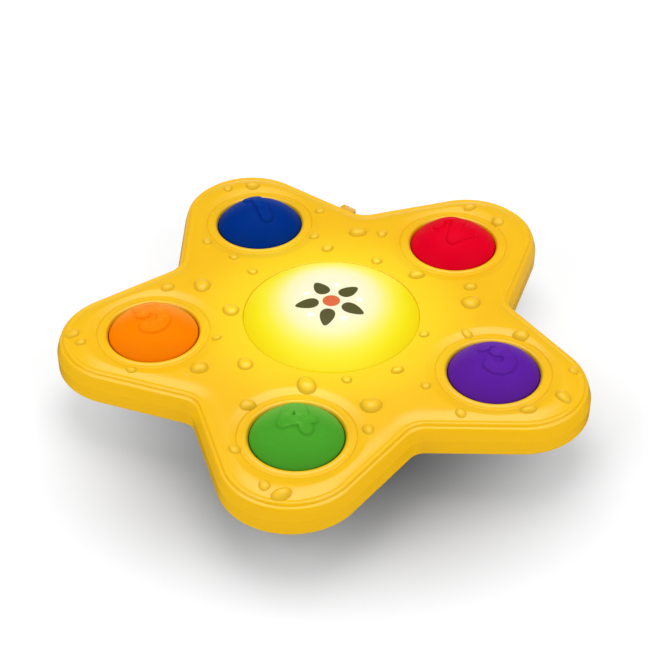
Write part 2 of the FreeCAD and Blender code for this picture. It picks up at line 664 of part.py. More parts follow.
def make_light_reflector():
    """White tapered ring that carries the lens and throws the light up."""
    foot = REFLECTOR_FOOT_RADIUS
    neck = LENS_FLANGE_RADIUS - REFLECTOR_NECK
    top = LENS_FLANGE_Z
    return lathe(
        (foot - REFLECTOR_WALL, BOARD_TOP_Z),
        [(foot, BOARD_TOP_Z), (neck, top - REFLECTOR_FLANGE), (LENS_FLANGE_RADIUS, top - REFLECTOR_FLANGE),
         (LENS_FLANGE_RADIUS, top), (neck - REFLECTOR_WALL, top)])


def make_main_board():
    board = disc(BOARD_RADIUS, BOARD_Z, BOARD_TOP_Z)
    hole = SMALL_SHANK_RADIUS + SHANK_CLEARANCE
    holes = [disc(hole, BOARD_Z - OVERLAP, BOARD_TOP_Z + OVERLAP, at)
             for at in circle_places(BOARD_SCREW_CIRCLE, BOARD_SCREWS)]
    return board.cut(Part.makeCompound(holes))


def make_sound_chip():
    """Round drop of black resin over the chip, under the main board."""
    sphere = (CHIP_RADIUS ** 2 + CHIP_HEIGHT ** 2) / (2 * CHIP_HEIGHT)
    low = BOARD_Z - CHIP_HEIGHT
    half = CHIP_RADIUS / 2
    middle = low + sphere - sphere_sag(sphere, half)
    return lathe((0.0, low), [((half, middle), (CHIP_RADIUS, BOARD_Z)), (0.0, BOARD_Z)])


def led(at):
    """Round-topped lamp standing on the main board."""
    straight = BOARD_TOP_Z + LED_HEIGHT - LED_RADIUS
    diagonal = LED_RADIUS * sqrt(0.5)
    return lathe(
        (0.0, BOARD_TOP_Z),
        [(LED_RADIUS, BOARD_TOP_Z), (LED_RADIUS, straight),
         ((diagonal, straight + diagonal), (0.0, straight + LED_RADIUS))], at)


def make_leds():
    places = [vec(0, 0)] + circle_places(LED_CIRCLE, LED_COUNT)
    return Part.makeCompound([led(at) for at in places])


def screw(at, head_z, direction, length, small=False):
    """Round-headed screw; the head's seat is at head_z and the shank runs up (1) or down (-1) from it."""
    head_radius = SMALL_HEAD_RADIUS if small else SCREW_HEAD_RADIUS
    head_height = SMALL_HEAD_HEIGHT if small else SCREW_HEAD_HEIGHT
    shank_radius = SMALL_SHANK_RADIUS if small else SCREW_SHANK_RADIUS
    head_end = head_z - direction * head_height
    shank_end = head_z + direction * length
    head = disc(head_radius, min(head_z, head_end), max(head_z, head_end), at)
    shank = disc(shank_radius, min(head_z, shank_end), max(head_z, shank_end), at)
    reach = head_radius * CROSS_SHARE
    recess_end = head_end + direction * CROSS_DEPTH
    z_range = (min(head_end, recess_end) - 1e-3, max(head_end, recess_end) + 1e-3)
    half = CROSS_WIDTH / 2
    cross = [block((at.x - reach, at.x + reach), (at.y - half, at.y + half), z_range),
             block((at.x - half, at.x + half), (at.y - reach, at.y + reach), z_range)]
    return fuse([head, shank]).cut(Part.makeCompound(cross))


def make_board_screws():
    length = BOARD_TOP_Z - EDGE_Z - BLIND_FLOOR - THREAD_CLEARANCE
    return Part.makeCompound([screw(at, BOARD_TOP_Z, -1, length, True)
                              for at in circle_places(BOARD_SCREW_CIRCLE, BOARD_SCREWS)])


def make_shell_screws():
    seat = EDGE_Z + SHELL_HEAD_DEPTH
    length = UNDERSIDE_Z - SHELL_SCREW_END_GAP - seat
    return Part.makeCompound([screw(at, seat, 1, length) for at in circle_places(SHELL_SCREW_CIRCLE, ARMS)])


def make_retainer_screws():
    seat = RETAINER_Z + RETAINER_THICKNESS
    length = seat - PEDESTAL_Z - BLIND_FLOOR - THREAD_CLEARANCE
    return Part.makeCompound([screw(at, seat, -1, length, True)
                              for at in circle_places(RETAINER_SCREW_CIRCLE, RETAINER_SCREWS)])


def make_cup_retainer():
    """Round plate screwed down over the cup's head."""
    plate = disc(RETAINER_RADIUS, RETAINER_Z, RETAINER_Z + RETAINER_THICKNESS)
    hole = SMALL_SHANK_RADIUS + SHANK_CLEARANCE
    holes = [disc(hole, RETAINER_Z - OVERLAP, RETAINER_Z + RETAINER_THICKNESS + OVERLAP, at)
             for at in circle_places(RETAINER_SCREW_CIRCLE, RETAINER_SCREWS)]
    return plate.cut(Part.makeCompound(holes))


def make_suction_cup():
    """Soft bell with a flat rim, a neck through the pedestal, a head above it and a release tab."""
    top = CUP_BODY_TOP_Z
    rim = RIM_RADIUS
    shoulder = CUP_SHOULDER_RADIUS
    outer_middle = ((rim + shoulder) / 2 + CUP_BOW, top * CUP_BOW_SHARE)
    inner_rim = rim - RIM_WIDTH
    inner_top = top - CUP_WALL
    inner_middle = ((inner_rim + shoulder) / 2 - HOLLOW_BOW, inner_top * HOLLOW_BOW_SHARE)
    cup = lathe(
        (0.0, inner_top),
        [(HOLLOW_TOP_RADIUS, inner_top), (inner_middle, (inner_rim, 0.0)), (rim, 0.0), (rim, CUP_LIP),
         (outer_middle, (shoulder, top)), (NECK_RADIUS, top), (NECK_RADIUS, HEAD_Z), (HEAD_RADIUS, HEAD_Z),
         (HEAD_RADIUS, HEAD_Z + HEAD_THICKNESS), (0.0, HEAD_Z + HEAD_THICKNESS)])
    half = TAB_WIDTH / 2
    reach = rim + TAB_LENGTH - half
    tab = block((rim - RIM_WIDTH / 2, reach), (-half, half), (0.0, TAB_THICKNESS))
    end = disc(half, 0.0, TAB_THICKNESS, vec(reach, 0))
    tab = fuse([tab, end])
    tab.rotate(vec(0, 0), vec(0, 0, 1), FIRST_ARM)
    return fuse([cup, tab])


def stroke_line(start, end, low, high):
    """Upright round-ended bar between two points."""
    half = NUMERAL_STROKE / 2
    length = hypot(end[0] - start[0], end[1] - start[1])
    bar = block((0, length), (-half, half), (low, high))
    bar.rotate(vec(0, 0), vec(0, 0, 1), degrees(atan2(end[1] - start[1], end[0] - start[0])))
    bar.translate(vec(start[0], start[1]))
    return [bar, disc(half, low, high, vec(*start)), disc(half, low, high, vec(*end))]


def stroke_arc(centre, radius, first, last, low, high):
    """Upright round-ended bar bent along an arc, anticlockwise from first to last in degrees."""
    half = NUMERAL_STROKE / 2
    outer = Part.makeCylinder(radius + half, high - low, vec(*centre, low), vec(0, 0, 1), last - first)
    outer.rotate(vec(*centre), vec(0, 0, 1), first)
    band = outer.cut(disc(radius - half, low - OVERLAP, high + OVERLAP, vec(*centre)))
    ends = [vec(*centre) + polar(radius, angle) for angle in (first, last)]
    return [band] + [disc(half, low, high, end) for end in ends]


# Strokes of the numerals about the cap's centre: a line has two ends, an arc a centre, radius and two angles
NUMERALS = [
    [((0.6, -8.1), (2.8, 11.0)), ((2.8, 11.0), (-1.2, 10.8))],
    [((-0.2, 5.2), 5.1, -30, 170), ((4.2, 2.65), (-4.4, -6.7)), ((-4.4, -6.7), (5.8, -6.2))],
    [((1.6, 5.0), 4.2, -90, 145), ((0.0, -3.2), 5.1, -172, 75)],
    [((-5.9, 0.5), (2.9, 12.1)), ((-5.9, 0.5), (5.8, -2.2)), ((5.4, 10.5), (1.45, -6.8))],
    [((4.3, 11.4), (-3.2, 11.2)), ((-3.2, 11.2), (-3.3, 2.2)), ((-0.9, -1.6), 5.8, -140, 125)],
]


def numeral(arm):
    """Raised figure that follows the cap's dome."""
    low = CAP_EDGE_Z
    high = RIM_Z + CAP_RISE + 2 * NUMERAL_HEIGHT
    bars = []
    for stroke in NUMERALS[arm]:
        if len(stroke) == 2:
            bars += stroke_line(stroke[0], stroke[1], low, high)
        else:
            bars += stroke_arc(*stroke, low, high)
    centre = vec(0, 0, CAP_SPHERE_Z)
    skin = Part.makeSphere(CAP_SPHERE + NUMERAL_HEIGHT, centre).cut(
        Part.makeSphere(CAP_SPHERE - NUMERAL_SINK, centre))
    return fuse(bars).common(skin)


def make_button(arm):
    """Domed cap with its figure, skirt, retaining flange and the post that works the key."""
    inner = CAP_RADIUS - CAP_WALL
    inner_sphere = CAP_SPHERE - CAP_WALL
    half = CAP_RADIUS / 2
    apex = RIM_Z + CAP_RISE
    inner_edge = CAP_SPHERE_Z + sphere_sag(inner_sphere, inner)
    inner_middle = CAP_SPHERE_Z + sphere_sag(inner_sphere, inner / 2)
    shell = lathe(
        (0.0, apex),
        [((half, CAP_SPHERE_Z + sphere_sag(CAP_SPHERE, half)), (CAP_RADIUS, CAP_EDGE_Z)),
         (CAP_RADIUS, FLANGE_TOP_Z), (FLANGE_RADIUS, FLANGE_TOP_Z), (FLANGE_RADIUS, FLANGE_BOTTOM_Z),
         (inner, FLANGE_BOTTOM_Z), (inner, inner_edge),
         ((inner / 2, inner_middle), (0.0, apex - CAP_WALL))])
    post = disc(CAP_POST_RADIUS, CAP_POST_Z, apex - CAP_WALL / 2 - CAP_POST_RADIUS ** 2 / CAP_SPHERE)
    cap = fuse([shell, post, numeral(arm)])
    cap.translate(button_centre(arm))
    return cap


def make_rubber_dome(arm):
    """Hollow rubber key that lifts the cap."""
    base = RUBBER_BASE_RADIUS
    top = RUBBER_TOP_RADIUS
    foot = RUBBER_WALL
    return lathe(
        (base - 2 * RUBBER_WALL, KEY_TOP_Z),
        [(base, KEY_TOP_Z), (base, KEY_TOP_Z + foot), (top, RUBBER_TOP_Z), (0.0, RUBBER_TOP_Z),
         (0.0, RUBBER_TOP_Z - 2 * RUBBER_WALL), (top - RUBBER_WALL, RUBBER_TOP_Z - 2 * RUBBER_WALL)],
        button_centre(arm))


def make_key_boards():
    return Part.makeCompound([disc(KEY_BOARD_RADIUS, KEY_BOARD_Z, KEY_TOP_Z, button_centre(arm))
                              for arm in range(ARMS)])


def make_key_leads():
    """Flat leads from each key board to the edge of the main board."""
    leads = []
    for arm in range(ARMS):
        angle = arm_angle(arm)
        swing = LEAD_SWING if cos(radians(angle)) >= 0 else -LEAD_SWING
        start = polar(BOARD_RADIUS, angle + swing)
        centre = button_centre(arm)
        route = centre - start
        heading = degrees(atan2(route.y, route.x))
        lead_z = (KEY_TOP_Z - LEAD_THICKNESS, KEY_TOP_Z)
        lead = block((0, route.Length), (-LEAD_WIDTH / 2, LEAD_WIDTH / 2), lead_z)
        lead.rotate(vec(0, 0), vec(0, 0, 1), heading)
        lead.translate(start)
        lead = lead.cut(disc(BOARD_RADIUS + LEAD_END_GAP, FLOOR_Z, BOARD_TOP_Z))
        leads.append(lead.cut(disc(KEY_BOARD_RADIUS + LEAD_END_GAP, FLOOR_Z, BOARD_TOP_Z, centre)))
    return Part.makeCompound(leads)


def speaker_place():
    return polar(SPEAKER_CIRCLE, SPEAKER_ANGLE)


def make_speaker_gasket():
    return ring(SPEAKER_RADIUS, SPEAKER_RADIUS - GASKET_WIDTH, FLOOR_Z, SPEAKER_Z, speaker_place())


def make_speaker_frame():
    """Pressed steel basket: a flat rim and a cone-shaped back."""
    rim_inner = SPEAKER_RADIUS - GASKET_WIDTH
    back = SPEAKER_Z + FRAME_DEPTH
    return lathe(
        (rim_inner, SPEAKER_Z),
        [(SPEAKER_RADIUS, SPEAKER_Z), (SPEAKER_RADIUS, SPEAKER_Z + FRAME_THICKNESS),
         (rim_inner + FRAME_THICKNESS, SPEAKER_Z + FRAME_THICKNESS),
         (MAGNET_RADIUS + FRAME_THICKNESS, back), (0.0, back), (0.0, back - FRAME_THICKNESS),
         (MAGNET_RADIUS, back - FRAME_THICKNESS), (rim_inner - FRAME_THICKNESS, SPEAKER_Z + FRAME_THICKNESS)],
        speaker_place())


def make_speaker_magnet():
    back = SPEAKER_Z + FRAME_DEPTH
    return disc(MAGNET_RADIUS, back, back + MAGNET_HEIGHT, speaker_place())


def make_speaker_cone():
    """Thin cone with its round dust cap, held in the frame's rim."""
    rim_inner = SPEAKER_RADIUS - GASKET_WIDTH - FRAME_THICKNESS - SPEAKER_SIDE_GAP
    low = SPEAKER_Z
    centre_z = low + FRAME_THICKNESS
    return lathe(
        (0.0, centre_z - CONE_THICKNESS),
        [(DUST_CAP_RADIUS, centre_z - CONE_THICKNESS / 2), (rim_inner - FRAME_THICKNESS, low),
         (rim_inner, low), (rim_inner, low + CONE_THICKNESS),
         (rim_inner - FRAME_THICKNESS, low + CONE_THICKNESS),
         (DUST_CAP_RADIUS, centre_z + CONE_THICKNESS / 2), (0.0, centre_z)],
        speaker_place())


def cell_row(number):
    """Place across the bay of a cell, counted from the cup's side."""
    pitch = 2 * CELL_RADIUS + CELL_GAP
    return BAY_CENTRE_Y + (1 - number) * pitch


def cell_direction(number):
    """Neighbouring cells lie head to tail."""
    return 1 if number % 2 == 0 else -1


def lying_disc(radius, x_low, x_high, y, z):
    return Part.makeCylinder(radius, x_high - x_low, vec(x_low, y, z), vec(1, 0, 0))


def make_cell(number):
    """Battery cell with its positive nub."""
    way = cell_direction(number)
    y = cell_row(number)
    nub_end = way * (BAY_HALF_X - CONTACT_THICKNESS)
    body_end = nub_end - way * CELL_NUB_LENGTH
    tail = body_end - way * CELL_LENGTH
    body = lying_disc(CELL_RADIUS, min(tail, body_end), max(tail, body_end), y, CELL_Z)
    nub = lying_disc(CELL_NUB_RADIUS, min(body_end, nub_end), max(body_end, nub_end), y, CELL_Z)
    return fuse([body, nub])


def make_contact_plates():
    """Sprung-steel plates on both end walls of the bay."""
    plates = []
    for number in range(CELLS):
        y = cell_row(number)
        for side in (-1, 1):
            outer = side * BAY_HALF_X
            inner = outer - side * CONTACT_THICKNESS
            plates.append(block((min(outer, inner), max(outer, inner)),
                                (y - CONTACT_WIDTH / 2, y + CONTACT_WIDTH / 2),
                                (CELL_Z - CONTACT_HEIGHT / 2, CELL_Z + CONTACT_HEIGHT / 2)))
    return Part.makeCompound(plates)


def make_contact_springs():
    """Cone springs, pressed flat by the cells' tails."""
    springs = []
    for number in range(CELLS):
        way = cell_direction(number)
        y = cell_row(number)
        plate = -way * (BAY_HALF_X - CONTACT_THICKNESS)
        length = 2 * (BAY_HALF_X - CONTACT_THICKNESS) - CELL_LENGTH - CELL_NUB_LENGTH
        springs.append(Part.makeCone(SPRING_BASE_RADIUS, SPRING_TOP_RADIUS, length, vec(plate, y, CELL_Z),
                                     vec(way, 0, 0)))
    return Part.makeCompound(springs)


def make_battery_door():
    """Ribbed door, let into the mouth of the bay and held by one screw."""
    low_x = DOOR_LOW_X + DOOR_GAP
    high_x = DOOR_HIGH_X - DOOR_GAP
    half_y = DOOR_HALF_Y - DOOR_GAP
    door = block((low_x, high_x), (BAY_CENTRE_Y - half_y, BAY_CENTRE_Y + half_y), (BAY_Z, DOOR_TOP_Z))
    at = vec(DOOR_SCREW_X, BAY_CENTRE_Y)
    door = fuse([door, disc(DOOR_PAD_RADIUS, DOOR_TOP_Z - OVERLAP, DOOR_TOP_Z + DOOR_PAD_HEIGHT, at)])
    seat = DOOR_TOP_Z + DOOR_PAD_HEIGHT - DOOR_THICKNESS
    cuts = [disc(SCREW_HEAD_RADIUS + HEAD_CLEARANCE, BAY_Z - OVERLAP, seat, at),
            disc(SCREW_SHANK_RADIUS + SHANK_CLEARANCE, BAY_Z, DOOR_TOP_Z + DOOR_PAD_HEIGHT + OVERLAP, at)]
    pitch = 2 * DOOR_RIB_WIDTH
    for k in range(DOOR_RIBS):
        x = low_x + pitch * (k + 1)
        cuts.append(block((x, x + DOOR_RIB_WIDTH), (BAY_CENTRE_Y - half_y / 2, BAY_CENTRE_Y + half_y / 2),
                          (BAY_Z - OVERLAP, BAY_Z + DOOR_RIB_DEPTH)))
    return door.cut(Part.makeCompound(cuts))


def make_door_screw():
    seat = DOOR_TOP_Z + DOOR_PAD_HEIGHT - DOOR_THICKNESS
    return screw(vec(DOOR_SCREW_X, BAY_CENTRE_Y), seat, 1, DOOR_SCREW_LENGTH)


def knob_z():
    """Lower and upper height of the switch knob."""
    high = RIM_Z - KNOB_DROP
    return high - KNOB_HEIGHT, high


def make_switch_knob():
    """Finger tab outside the wall, a neck through the slot and a foot in the switch body."""
    low, high = knob_z()
    middle = (low + high) / 2
    half = KNOB_LENGTH / 2
    tab = block((KNOB_GAP, KNOB_REACH), (-half, half), (low, high))
    upright = [e for e in tab.Edges if abs(e.tangentAt(e.FirstParameter).z) > 0.9
               and e.BoundBox.XMin > KNOB_REACH / 2]
    tab = tab.makeFillet(min(KNOB_REACH / 4, KNOB_LENGTH / 4), upright)
    pitch = KNOB_LENGTH / (KNOB_GRIPS + 1)
    grips = [block((KNOB_REACH - KNOB_GRIP_DEPTH, KNOB_REACH + OVERLAP),
                   (-half + pitch * (k + 1) - pitch / 4, -half + pitch * (k + 1) + pitch / 4),
                   (low - OVERLAP, high + OVERLAP)) for k in range(KNOB_GRIPS)]
    tab = tab.cut(Part.makeCompound(grips))
    neck_half = KNOB_NECK / 2
    neck_rise = KNOB_NECK_HEIGHT / 2
    foot_end = -WALL - SWITCH_RIB_GAP - SWITCH_BODY_WALL - SWITCH_FOOT_DEPTH
    neck = block((foot_end, KNOB_GAP + OVERLAP), (-neck_half, neck_half),
                 (middle - neck_rise, middle + neck_rise))
    return place_on_flank(fuse([tab, neck]))


def make_switch_body():
    """Boxed switch on the floor behind the wall, open in front for the knob's foot."""
    low, high = knob_z()
    middle = (low + high) / 2
    half = KNOB_NECK / 2 + KNOB_TRAVEL + KNOB_GAP
    front = -WALL - SWITCH_RIB_GAP
    back = front - SWITCH_BODY_DEPTH
    outer_half = half + SWITCH_BODY_WALL
    rise = KNOB_NECK_HEIGHT / 2 + KNOB_GAP
    body = block((back, front), (-outer_half, outer_half), (FLOOR_Z, middle + rise + SWITCH_BODY_WALL))
    pocket_end = front - SWITCH_BODY_WALL - SWITCH_FOOT_DEPTH - KNOB_GAP
    pocket = block((pocket_end, front + OVERLAP), (-half, half), (middle - rise, middle + rise))
    return place_on_flank(body.cut(pocket))


def write(name, shape):
    """Writes one sub-part and prints what it is."""
    solids = shape.Solids
    if not shape.isValid() or not solids:
        print("NOT VALID", name)
    kept = solids[0] if len(solids) == 1 else Part.makeCompound(solids)
    kept.exportStep("parts/" + name + ".step")
    box = kept.BoundBox
    print("%-16s solids %d volume %.0f z %.2f to %.2f" % (name, len(solids), kept.Volume, box.ZMin, box.ZMax))


def main():
    os.makedirs("parts", exist_ok=True)
    write("top_shell", make_top_shell())
    write("bottom_shell", make_bottom_shell())
    write("light_lens", make_light_lens())
    write("light_reflector", make_light_reflector())
    write("main_board", make_main_board())
    write("sound_chip", make_sound_chip())
    write("leds", make_leds())
    write("board_screws", make_board_screws())
    write("shell_screws", make_shell_screws())
    write("suction_cup", make_suction_cup())
    write("cup_retainer", make_cup_retainer())
    write("retainer_screws", make_retainer_screws())
    write("speaker_gasket", make_speaker_gasket())
    write("speaker_frame", make_speaker_frame())
    write("speaker_cone", make_speaker_cone())
    write("speaker_magnet", make_speaker_magnet())
    write("key_boards", make_key_boards())
    write("key_leads", make_key_leads())
    write("contact_plates", make_contact_plates())
    write("contact_springs", make_contact_springs())
    write("battery_door", make_battery_door())
    write("door_screw", make_door_screw())
    write("switch_body", make_switch_body())
    write("switch_knob", make_switch_knob())
    for arm in range(ARMS):
        write("button_%d" % (arm + 1), make_button(arm))
        write("rubber_dome_%d" % (arm + 1), make_rubber_dome(arm))
    for number in range(CELLS):
        write("aaa_cell_%d" % (number + 1), make_cell(number))


main()
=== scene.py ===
import math

import bmesh
import bpy
import numpy as np
from mathutils import Matrix, Vector


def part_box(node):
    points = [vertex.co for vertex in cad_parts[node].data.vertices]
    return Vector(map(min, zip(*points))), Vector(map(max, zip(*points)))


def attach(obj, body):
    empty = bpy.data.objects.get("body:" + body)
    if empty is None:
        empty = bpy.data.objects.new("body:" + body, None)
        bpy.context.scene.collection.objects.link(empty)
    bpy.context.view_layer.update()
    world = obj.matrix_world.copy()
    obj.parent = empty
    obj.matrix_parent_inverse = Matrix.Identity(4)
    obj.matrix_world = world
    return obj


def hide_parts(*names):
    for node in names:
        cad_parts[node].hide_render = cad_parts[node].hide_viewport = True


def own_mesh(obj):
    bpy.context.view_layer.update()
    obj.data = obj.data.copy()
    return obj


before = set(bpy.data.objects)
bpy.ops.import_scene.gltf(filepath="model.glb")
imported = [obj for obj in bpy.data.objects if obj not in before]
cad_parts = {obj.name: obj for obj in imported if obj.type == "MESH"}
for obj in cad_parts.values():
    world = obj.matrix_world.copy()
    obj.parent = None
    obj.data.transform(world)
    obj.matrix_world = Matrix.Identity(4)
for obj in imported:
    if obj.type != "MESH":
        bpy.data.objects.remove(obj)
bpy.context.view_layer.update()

# Sizes are in millimetres. The origin is the centre of the cup's rim, +Z is up, +Y runs along arm 1.
MM = 0.001


def lowest(node):
    """Least x, y and z of a part."""
    return np.array(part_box(node)[0]) / MM


def highest(node):
    """Greatest x, y and z of a part."""
    return np.array(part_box(node)[1]) / MM


# Star outline: five tip arcs and five notch arcs joined by straight flanks
ARMS = 5
ARM_STEP = 360.0 / ARMS
HALF_STEP = math.pi / ARMS
FIRST_ARM = 90.0
BUTTON_CIRCLE = 84.0
TIP_OFFSET = 11.9
TIP_RADIUS = 34.0
NOTCH_REACH = 88.2
NOTCH_RADIUS = 8.0

# Points on half an arm's outline and on its way to the lens
TIP_POINTS = 31
FLANK_POINTS = 20
NOTCH_POINTS = 11
SPOKE_POINTS = 18
LENS_POINTS = 25

# Heights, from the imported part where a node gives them
EDGE_Z = lowest("top_shell")[2]
LENS_TOP_Z = highest("light_lens")[2]
LENS_RISE = 8.7
TOP_Z = LENS_TOP_Z - LENS_RISE
TOP_RISE = 1.3
RIM_Z = TOP_Z - TOP_RISE
TOP_WALL = 3.1
UNDERSIDE_Z = TOP_Z - TOP_WALL

# Outer edge, as insets from the outline
DRAFT = 0.4
LEDGE = 2.5
STEP = 3.65
BEAD = 4.9
CREASE = 6.3
CREASE_RISE = 0.3
SHOULDER_END = 13.5
WALL = 2.8
WALL_TOP_Z = 35.8

# Its section from the crease out, over the bead, the step and the ledge and down the round ridge to the
# wall: insets and heights over the buttons' rims
EDGE_SECTION = [
    (CREASE, CREASE_RISE), (CREASE - 0.4, 0.32), (BEAD, 0.46), (BEAD - 0.6, 0.36), (STEP + 0.3, 0.08),
    (STEP + 0.1, -0.4), (STEP - 0.1, -0.86), (STEP - 0.4, -1.08), (LEDGE + 0.2, -1.15), (LEDGE - 0.1, -1.28),
    (LEDGE - 0.35, -1.6), (LEDGE - 0.6, -2.2), (1.6, -3.0), (1.2, -4.3), (0.75, -5.9), (DRAFT, -7.2)]

# The wall's foot, as insets and heights over the edge's lowest line, and the end of the wall over it
FOOT_SECTION = [
    (DRAFT + 0.02, 0.25), (DRAFT + 0.15, 0.03), (DRAFT + 0.4, 0.0), (WALL - 0.3, 0.0), (WALL, 0.3)]
WALL_END = (DRAFT + 0.01, 0.4)

# Ceiling inside the lid: it slopes down towards the walls
CEILING_BEND = 2.5
CEILING_DROP = 1.3
CEILING_RING = 26.0

# Button openings: radii, and the top of the hole's straight wall over the rim
HOLE_RADIUS = 21.3
HOLE_TOP = -1.2
LIP_TOP = 23.2
GROOVE = 26.45
GROOVE_HALF = 0.3
GROOVE_FLOOR_HALF = 0.08
GROOVE_DEPTH = 0.45
DISH_LOW_Z = RIM_Z + 0.42
DISH_START = 0.5
DISH_EDGE = 31.3
DISH_ROUND = 1.1

# The lip's section from the hole over its round top to the groove: radii and heights over the rim
LIP_SECTION = [
    (HOLE_RADIUS, -1.1), (HOLE_RADIUS + 0.15, -0.5), (HOLE_RADIUS + 0.6, 0.05), (LIP_TOP - 0.8, 0.42),
    (LIP_TOP - 0.1, 0.56), (LIP_TOP + 0.4, 0.52), (LIP_TOP + 1.0, 0.38), (LIP_TOP + 1.5, 0.35),
    (GROOVE - GROOVE_HALF - 0.3, 0.36), (GROOVE - GROOVE_HALF, 0.34)]

# The groove's section, along its floor and up to the dish: radii and heights over the dish's low edge
GROOVE_SECTION = [
    (GROOVE - GROOVE_FLOOR_HALF, -GROOVE_DEPTH), (GROOVE + GROOVE_FLOOR_HALF, -GROOVE_DEPTH),
    (GROOVE + GROOVE_HALF, 0.03)]

# Button caps
CAP_RADIUS = 20.95
CAP_EDGE_Z = RIM_Z - 0.4
CAP_WALL = 1.8
CAP_COLUMNS = 300
SKIRT_Z = UNDERSIDE_Z - 1.5
FLANGE_RADIUS = CAP_RADIUS + 1.35
FLANGE_THICKNESS = 1.4
NUMERAL_HEIGHT = 0.9
NUMERAL_HALF_WIDTH = 2.9
NUMERAL_SOFTNESS = 0.5
NUMERAL_GROOVE = 0.22
NUMERAL_GROOVE_OUT = 0.55
NUMERAL_GROOVE_WIDTH = 0.35
NUMERAL_REACH = 16.0
NUMERAL_FINENESS = 0.22
CAP_APEX_Z = highest("button_1")[2] - NUMERAL_HEIGHT

# Lens
LENS_RADIUS = 41.5
LENS_HOLE = LENS_RADIUS + 0.25
LENS_HOLE_ROUND = 0.3
LENS_HOLE_TOP = LENS_HOLE + LENS_HOLE_ROUND
LENS_WALL = 2.0
LENS_FLANGE_RADIUS = LENS_RADIUS + 3.0
LENS_FLANGE_Z = lowest("light_lens")[2]
LENS_DOME_SHARE = 0.993
LENS_COLUMNS = 192

# Suction cup
CUP_RIM_RADIUS = 37.0
CUP_RIM_WIDTH = 2.4
CUP_CROWN = 3.0
CUP_SHOULDER = 15.0
CUP_TOP_Z = 14.9
CUP_NECK_RADIUS = 9.0
CUP_HEAD_RADIUS = 13.0
CUP_HEAD_Z = 17.2
CUP_HEAD_TOP_Z = highest("suction_cup")[2]
CUP_HEAD_BEVEL = 0.4
CUP_COLUMNS = 144

# Release tab of the cup
TAB_ROOT = CUP_RIM_RADIUS - 1.6
TAB_END = highest("suction_cup")[1]
TAB_HALF_WIDTH = 6.0
TAB_THICKNESS = 2.2
TAB_PLAY = 0.1
TAB_SQUARENESS = 0.6
TAB_RIB_HEIGHT = 0.18
TAB_RIB_TURN = 2.6
TAB_LIFT = 0.02

# Rubber keys under the caps
KEY_FOOT_Z = lowest("rubber_dome_1")[2]
KEY_TOP_Z = highest("rubber_dome_1")[2]
KEY_FOOT_RADIUS = 8.0
KEY_TOP_RADIUS = 4.0
KEY_TOP_DEPTH = 2.0

# Shape of a bump: its rise as a share of its width, its root in the lid and its two waves of unevenness
BUMP_RISE_SHARE = 0.27
BUMP_FULLNESS = 2.4
BUMP_STEEPNESS = 0.65
BUMP_SUNK = 0.1
BUMP_ROOT = 0.4
BUMP_SWAY = (0.05, 0.035)
BUMP_COLUMNS = 28
BUMP_ROWS = 10

# Bumps: for each button, places beside its centre, with width, length and turn in degrees
BUMPS = [
    [(-3.1, 33.3, 5.0, 5.0, 0), (9.4, 30.3, 7.5, 6.0, -20), (-30.6, -4.7, 5.0, 5.0, 0),
     (31.4, -5.2, 5.0, 5.0, 0), (-23.6, -22.2, 5.0, 5.0, 0), (19.4, -23.7, 5.0, 5.0, 0),
     (-46.6, -36.7, 8.5, 10.0, 0), (-20.1, -37.2, 5.0, 5.0, 0), (20.9, -36.2, 6.5, 5.0, 0),
     (40.4, -30.7, 9.0, 7.0, -25), (50.9, -36.7, 5.5, 5.5, 0)],
    [(-41.6, 2.3, 5.5, 5.5, 0), (21.9, 22.3, 6.5, 5.0, -10), (28.9, 5.8, 6.5, 7.5, 0),
     (-29.1, -16.2, 8.0, 6.5, 0), (-10.1, -35.7, 7.0, 5.5, 0), (-16.1, -46.7, 9.0, 9.5, 0)],
    [(-16.6, 36.3, 5.0, 5.0, 0), (1.9, 28.3, 5.0, 6.5, 0), (23.9, 16.3, 7.5, 7.5, 0),
     (-39.6, 18.8, 6.5, 5.0, 0), (-33.1, 3.8, 5.0, 5.0, 0), (-27.6, -18.7, 5.0, 6.0, 0),
     (0.4, -29.7, 7.5, 6.0, 0), (18.9, -29.2, 6.5, 8.5, 0), (32.9, -15.7, 5.0, 5.0, 0)],
    [(-11.6, 26.8, 7.5, 6.5, -20), (17.4, 27.3, 8.5, 12.0, 0), (35.4, 22.8, 5.0, 5.0, 0),
     (37.4, 2.3, 10.5, 9.0, 0), (29.4, -10.7, 5.5, 6.5, 0), (-28.1, 3.3, 5.5, 6.0, 0),
     (-25.6, -22.7, 5.0, 6.5, 0), (-21.3, -30.7, 9.2, 6.6, 0)],
    [(-35.1, 14.3, 7.0, 6.5, 0), (-33.6, 6.3, 5.5, 4.5, 0), (17.9, 27.3, 6.5, 6.0, -15),
     (38.4, -2.2, 7.5, 9.0, 0), (24.4, -18.2, 5.0, 3.5, 0), (8.9, -34.7, 9.0, 7.5, 0),
     (28.9, -41.2, 7.0, 9.0, 0), (-19.1, -21.7, 5.0, 5.0, 0)],
]

# Strokes of the numerals about a cap's centre: a line has two ends, an arc a centre, radius and two angles
NUMERALS = [
    [((0.6, -8.1), (2.8, 11.0)), ((2.8, 11.0), (-1.2, 10.8))],
    [((-0.2, 5.2), 5.1, -30, 170), ((4.2, 2.65), (-4.4, -6.7)), ((-4.4, -6.7), (5.8, -6.2))],
    [((1.6, 5.0), 4.2, -90, 145), ((0.0, -3.2), 5.1, -172, 75)],
    [((-5.9, 0.5), (2.9, 12.1)), ((-5.9, 0.5), (5.8, -2.2)), ((5.4, 10.5), (1.45, -6.8))],
    [((4.3, 11.4), (-3.2, 11.2)), ((-3.2, 11.2), (-3.3, 2.2)), ((-0.9, -1.6), 5.8, -140, 125)],
]

